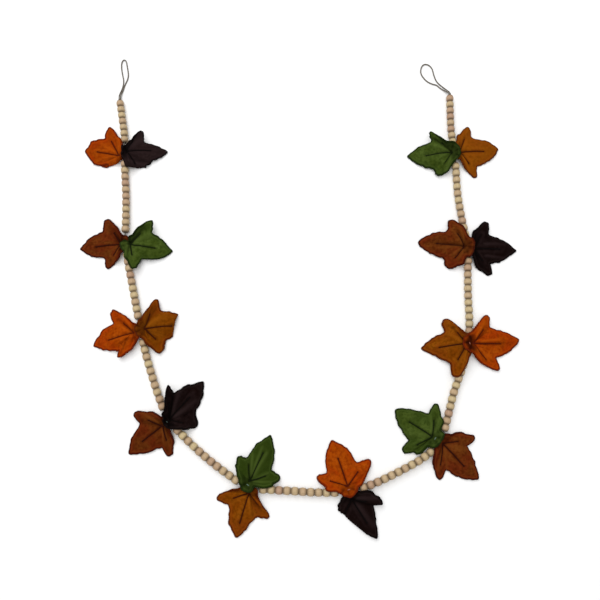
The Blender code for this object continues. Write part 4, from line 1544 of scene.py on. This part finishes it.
        # Troughs get painted shade, and ridges get painted highlight.
        for crease, share in zip(self.leaf.creases, self.creased):
            if crease.depth > 0:
                painted_shade = np.maximum(painted_shade, min(0.96, 0.32 * crease.depth) * share)
            else:
                painted_highlight_and_pale_dye = np.maximum(painted_highlight_and_pale_dye, min(0.7, -0.5 * crease.depth) * share)
        return {
            "painted_shade": np.clip(painted_shade, 0, 1),
            # The painted highlight also carries a paler leaf's lighter dye.
            "painted_highlight_and_pale_dye": np.clip(painted_highlight_and_pale_dye + max(self.leaf.tone, 0.0), 0, 1),
            "rim": self.rim_distance(),
            "deeper": np.full_like(painted_highlight_and_pale_dye, max(-self.leaf.tone, 0.0)),
        }

    # -- its pieces --
    def thread(self, use: str, colour: str, dark: str) -> StitchThread:
        """The thread that does one job on leaves of this dye."""
        return StitchThread(f"spun_cotton_thread_{use}_{self.leaf.dye.value}", colour, dark)

    def build_felt(self) -> Object:
        """Make the felt: two skins that meet in a rounded cut edge.

        Returns:
            The piece.
        """
        half = np.full((len(self.rings), 1, 1), FELT / 2)
        half[-2] *= 0.86  # rounds the cut edge
        upper = self.middle + self.normals * half
        lower = self.middle - self.normals * half
        lower[:, :, 2] = np.maximum(lower[:, :, 2], 0.0)
        n, last = self.columns, len(self.rings) - 1
        points = np.vstack([
            self.centre + (0, 0, FELT / 2 - 0.6), upper[:last].reshape(-1, 3), self.middle[last],
            lower[:last].reshape(-1, 3), self.centre - (0, 0, FELT / 2),
        ])
        rim, under, bottom = 1 + last * n, 1 + (last + 1) * n, len(points) - 1
        faces: list = []
        for i, j in zip(range(n), [*range(1, n), 0]):
            faces += [(0, 1 + i, 1 + j), (bottom, under + j, under + i)]
            for r in range(last):
                a, c = 1 + r * n, under + r * n
                b, d = a + n, c + n if r + 1 < last else rim
                faces += [(a + i, b + i, b + j, a + j), (c + i, c + j, d + j, d + i)]
        hidden = {"painted_shade": 0.3, "painted_highlight_and_pale_dye": 0.0}  # how much of these shows on the underside
        values = {}
        for label, field in self.shades().items():
            top, middle, below = field[:last].ravel(), field[0].mean(), hidden.get(label, 1.0)
            values[label] = np.hstack([middle, top, field[last], top * below, middle * below])
        felt = WoolFelt(f"needled_wool_felt_{self.leaf.dye.value}", *DYED[self.leaf.dye][0])
        name = f"felt_leaf_{self.leaf.name}"
        piece = make_piece(name, points, faces, felt.material(), values)
        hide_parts(f"leaf_{self.leaf.name}")
        return piece

    def build_edge(self) -> Object:
        """Whip the cut edge with thread: a close roll of slanting stitches all round it.

        Returns:
            The piece.
        """
        inner = self.outline(self.edge_inset)
        closed = np.vstack([inner, inner[:1]])
        count = round(self.perimeter / self.edge_step)
        marks = np.arange(count) / count * self.columns
        flat = [np.interp(marks, np.arange(self.columns + 1), column) for column in closed.T]
        laid = np.hstack(self.on_surface(*to_polar(np.column_stack(flat))))
        for _ in range(3):  # eases the thread round the corners of folds
            laid = laid / 2 + (np.roll(laid, 1, axis=0) + np.roll(laid, -1, axis=0)) / 4
        places, normals = laid[:, :3], unit(laid[:, 3:])
        outward = np.cross(np.roll(places, -1, axis=0) - np.roll(places, 1, axis=0), normals)
        turns = ring_angles(self.edge_sides)
        stitches = round(self.perimeter / self.edge_stitch)
        # Each stitch slants across the edge, and the roll is thinner between two.
        phase = ring_angles(count)[:, None] * stitches + self.edge_slant * np.sin(turns)
        groove = 0.5 - 0.5 * np.cos(phase)
        swell = (1.05 - 0.22 * groove**3)[..., None]
        points = swell * self.edge_width * np.cos(turns)[:, None] * unit(outward)[:, None, :]
        points += swell * self.edge_height * np.sin(turns)[:, None] * normals[:, None, :]
        points += places[:, None, :]
        points[..., 2] = np.maximum(points[..., 2], 0.0)
        faces = strip_faces(count, self.edge_sides, closed=True)
        name = f"whipped_edge_{self.leaf.name}"
        thread = self.thread("edge", *DYED[self.leaf.dye][1])
        # Painted shade between stitches.
        values = {"groove": groove.ravel() ** 2}
        return make_piece(name, points.reshape(-1, 3), faces, thread.material(), values)

    def sewn(
        self, flat: np.ndarray, height: np.ndarray, thick: np.ndarray, sides: int
    ) -> tuple[np.ndarray, list[tuple[int, ...]]]:
        """Lay a thread along flat points of the felt.

        Args:
            flat: The points.
            height: How high over the felt's skin its middle is at each.
            thick: Its radius at each.
            sides: How many points go round it.

        Returns:
            Its points and faces.
        """
        places, normals = self.on_surface(*to_polar(flat))
        across = unit(np.cross(unit(np.gradient(places, axis=0)), normals))
        line = places + normals * (FELT / 2 + height)[:, None]
        return capped_tube(line, across, normals, thick[:, None], sides)

    def build_veins(self) -> Object:
        """Embroider the veins: a line of back stitches along each, thickest where they meet.

        Returns:
            The piece.
        """
        parts, grooves = [], []
        for turn, length in self.veins():
            along = np.arange(-2.0, length, self.vein_step)
            wave = np.abs(np.sin(math.pi * along / self.vein_stitch))
            # The line thins outwards, is pinched between two stitches and ends in a small knot.
            thick = (1.55 - 0.35 * np.clip(along / length, 0, 1)) * (0.78 + 0.22 * wave**0.6)
            thick = thick + 0.35 * hump(length - along - 1.6, 1.2)
            thick[0] = thick[-1] = 0.5
            flat = flat_points(turn, along)
            parts.append(self.sewn(flat, 0.25 * wave - 0.45, thick, self.vein_sides))
            grooves.append(np.repeat(1 - wave, self.vein_sides))
        name = f"stitched_veins_{self.leaf.name}"
        thread = self.thread("vein", *DYED[self.leaf.dye][2])
        # Painted shade between stitches.
        values = {"groove": np.concatenate(grooves)}
        return make_piece(name, *joined(parts), thread.material(), values)

    def build_tack(self) -> Object:
        """Sew the leaf down: one short stitch across its base, over the twine.

        Returns:
            The piece.
        """
        across = np.linspace(-self.tack_half, self.tack_half, self.tack_points)
        flat = np.column_stack([np.full(self.tack_points, self.tack_place), across])
        arch = np.sin(np.linspace(0, math.pi, self.tack_points))
        thick = self.tack_radius * (0.55 + 0.45 * arch**0.4)
        stitch = self.sewn(flat, 0.9 * arch - 0.5, thick, self.tack_sides)
        name = f"tacking_stitch_{self.leaf.name}"
        thread = self.thread("tack", self.leaf.tack, TACK_DARK)
        # Painted shade where the stitch dips into the felt at each end.
        values = {"groove": np.repeat(1 - arch, self.tack_sides)}
        return make_piece(name, *stitch, thread.material(), values)

    def build(self) -> Object:
        """Make the leaf's pieces.

        Returns:
            The felt piece.
        """
        felt = self.build_felt()
        stitched = [self.build_edge(), self.build_veins()]
        if self.leaf.tack:
            stitched.append(self.build_tack())
        return felt


# ---- the studio ----
@dataclass
class Studio:
    """A pale floor, soft light from above and a camera that looks down at the garland."""

    lens: float = 41.14
    sensor: float = 36.0
    distance: float = 1.135
    elevation: float = 78.0
    floor_half: float = 6.0
    floor_drop: float = 0.0003  # keeps the floor just clear of the pieces that lie on it
    sky: float = 0.5

    def place_camera(self) -> None:
        """Set the camera over the plan's own origin."""
        data = bpy.data.cameras.new("camera")
        data.lens = self.lens
        data.sensor_width = self.sensor
        camera = add_object("camera", data)
        target = Vector(in_metres(np.zeros(3)))
        tilt = math.radians(self.elevation)
        back = Vector((0.0, -math.cos(tilt), math.sin(tilt)))
        aim(camera, target + back * self.distance, target)
        bpy.context.scene.camera = camera

    def lay_floor(self) -> None:
        """Lay a plain matt floor."""
        half = self.floor_half
        mesh = bpy.data.meshes.new("floor")
        corners = ((-half, -half), (half, -half), (half, half), (-half, half))
        mesh.from_pydata([(x, y, -self.floor_drop) for x, y in corners], [], [(0, 1, 2, 3)])
        mesh.materials.append(CARD.material())
        add_object("floor", mesh)

    def add_light(self, name: str, place: Sequence[float], size: float, power: float) -> None:
        """Hang one soft square light that points at the garland.

        Args:
            name: The light's name.
            place: Where it hangs.
            size: Its width.
            power: Its power in watts.
        """
        data = bpy.data.lights.new(name, "AREA")
        data.size = size
        data.energy = power
        aim(add_object(name, data), Vector(place), Vector())

    def light_up(self) -> None:
        """Light the floor evenly, more from the top of the layout, and show colours as they are."""
        world = bpy.data.worlds.new("studio")
        world.use_nodes = True
        background = world.node_tree.nodes["Background"]
        fill(world.node_tree, background, {"Color": linear("#FFFFFF"), "Strength": self.sky})
        bpy.context.scene.world = world
        self.add_light("top_key", (-1.3, 2.3, 3.4), size=2.8, power=82.0)
        self.add_light("overhead", (-0.2, -0.3, 4.4), size=2.6, power=72.0)
        bpy.context.scene.view_settings.view_transform = "Standard"


def main() -> None:
    """Build the garland and report each piece."""
    logging.basicConfig(level=logging.INFO, format="%(name)s: %(message)s")
    studio = Studio()
    studio.place_camera()
    stringing = Stringing()
    stringing.build_loop("left", LOOP_LEFT)
    stringing.build_loop("right", LOOP_RIGHT)
    twine = stringing.build_twine()
    stringing.build_knot("left", KNOT_LEFT)
    stringing.build_knot("right", KNOT_RIGHT)
    runs = Beads(stringing).build()
    below = None
    for leaf in LEAVES:
        felt = LeafMaker(leaf, below=below if leaf.layer is Layer.OVER else None).build()
        below = ray_tree(felt.data)
    studio.lay_floor()
    studio.light_up()


if __name__ == "__main__":
    main()
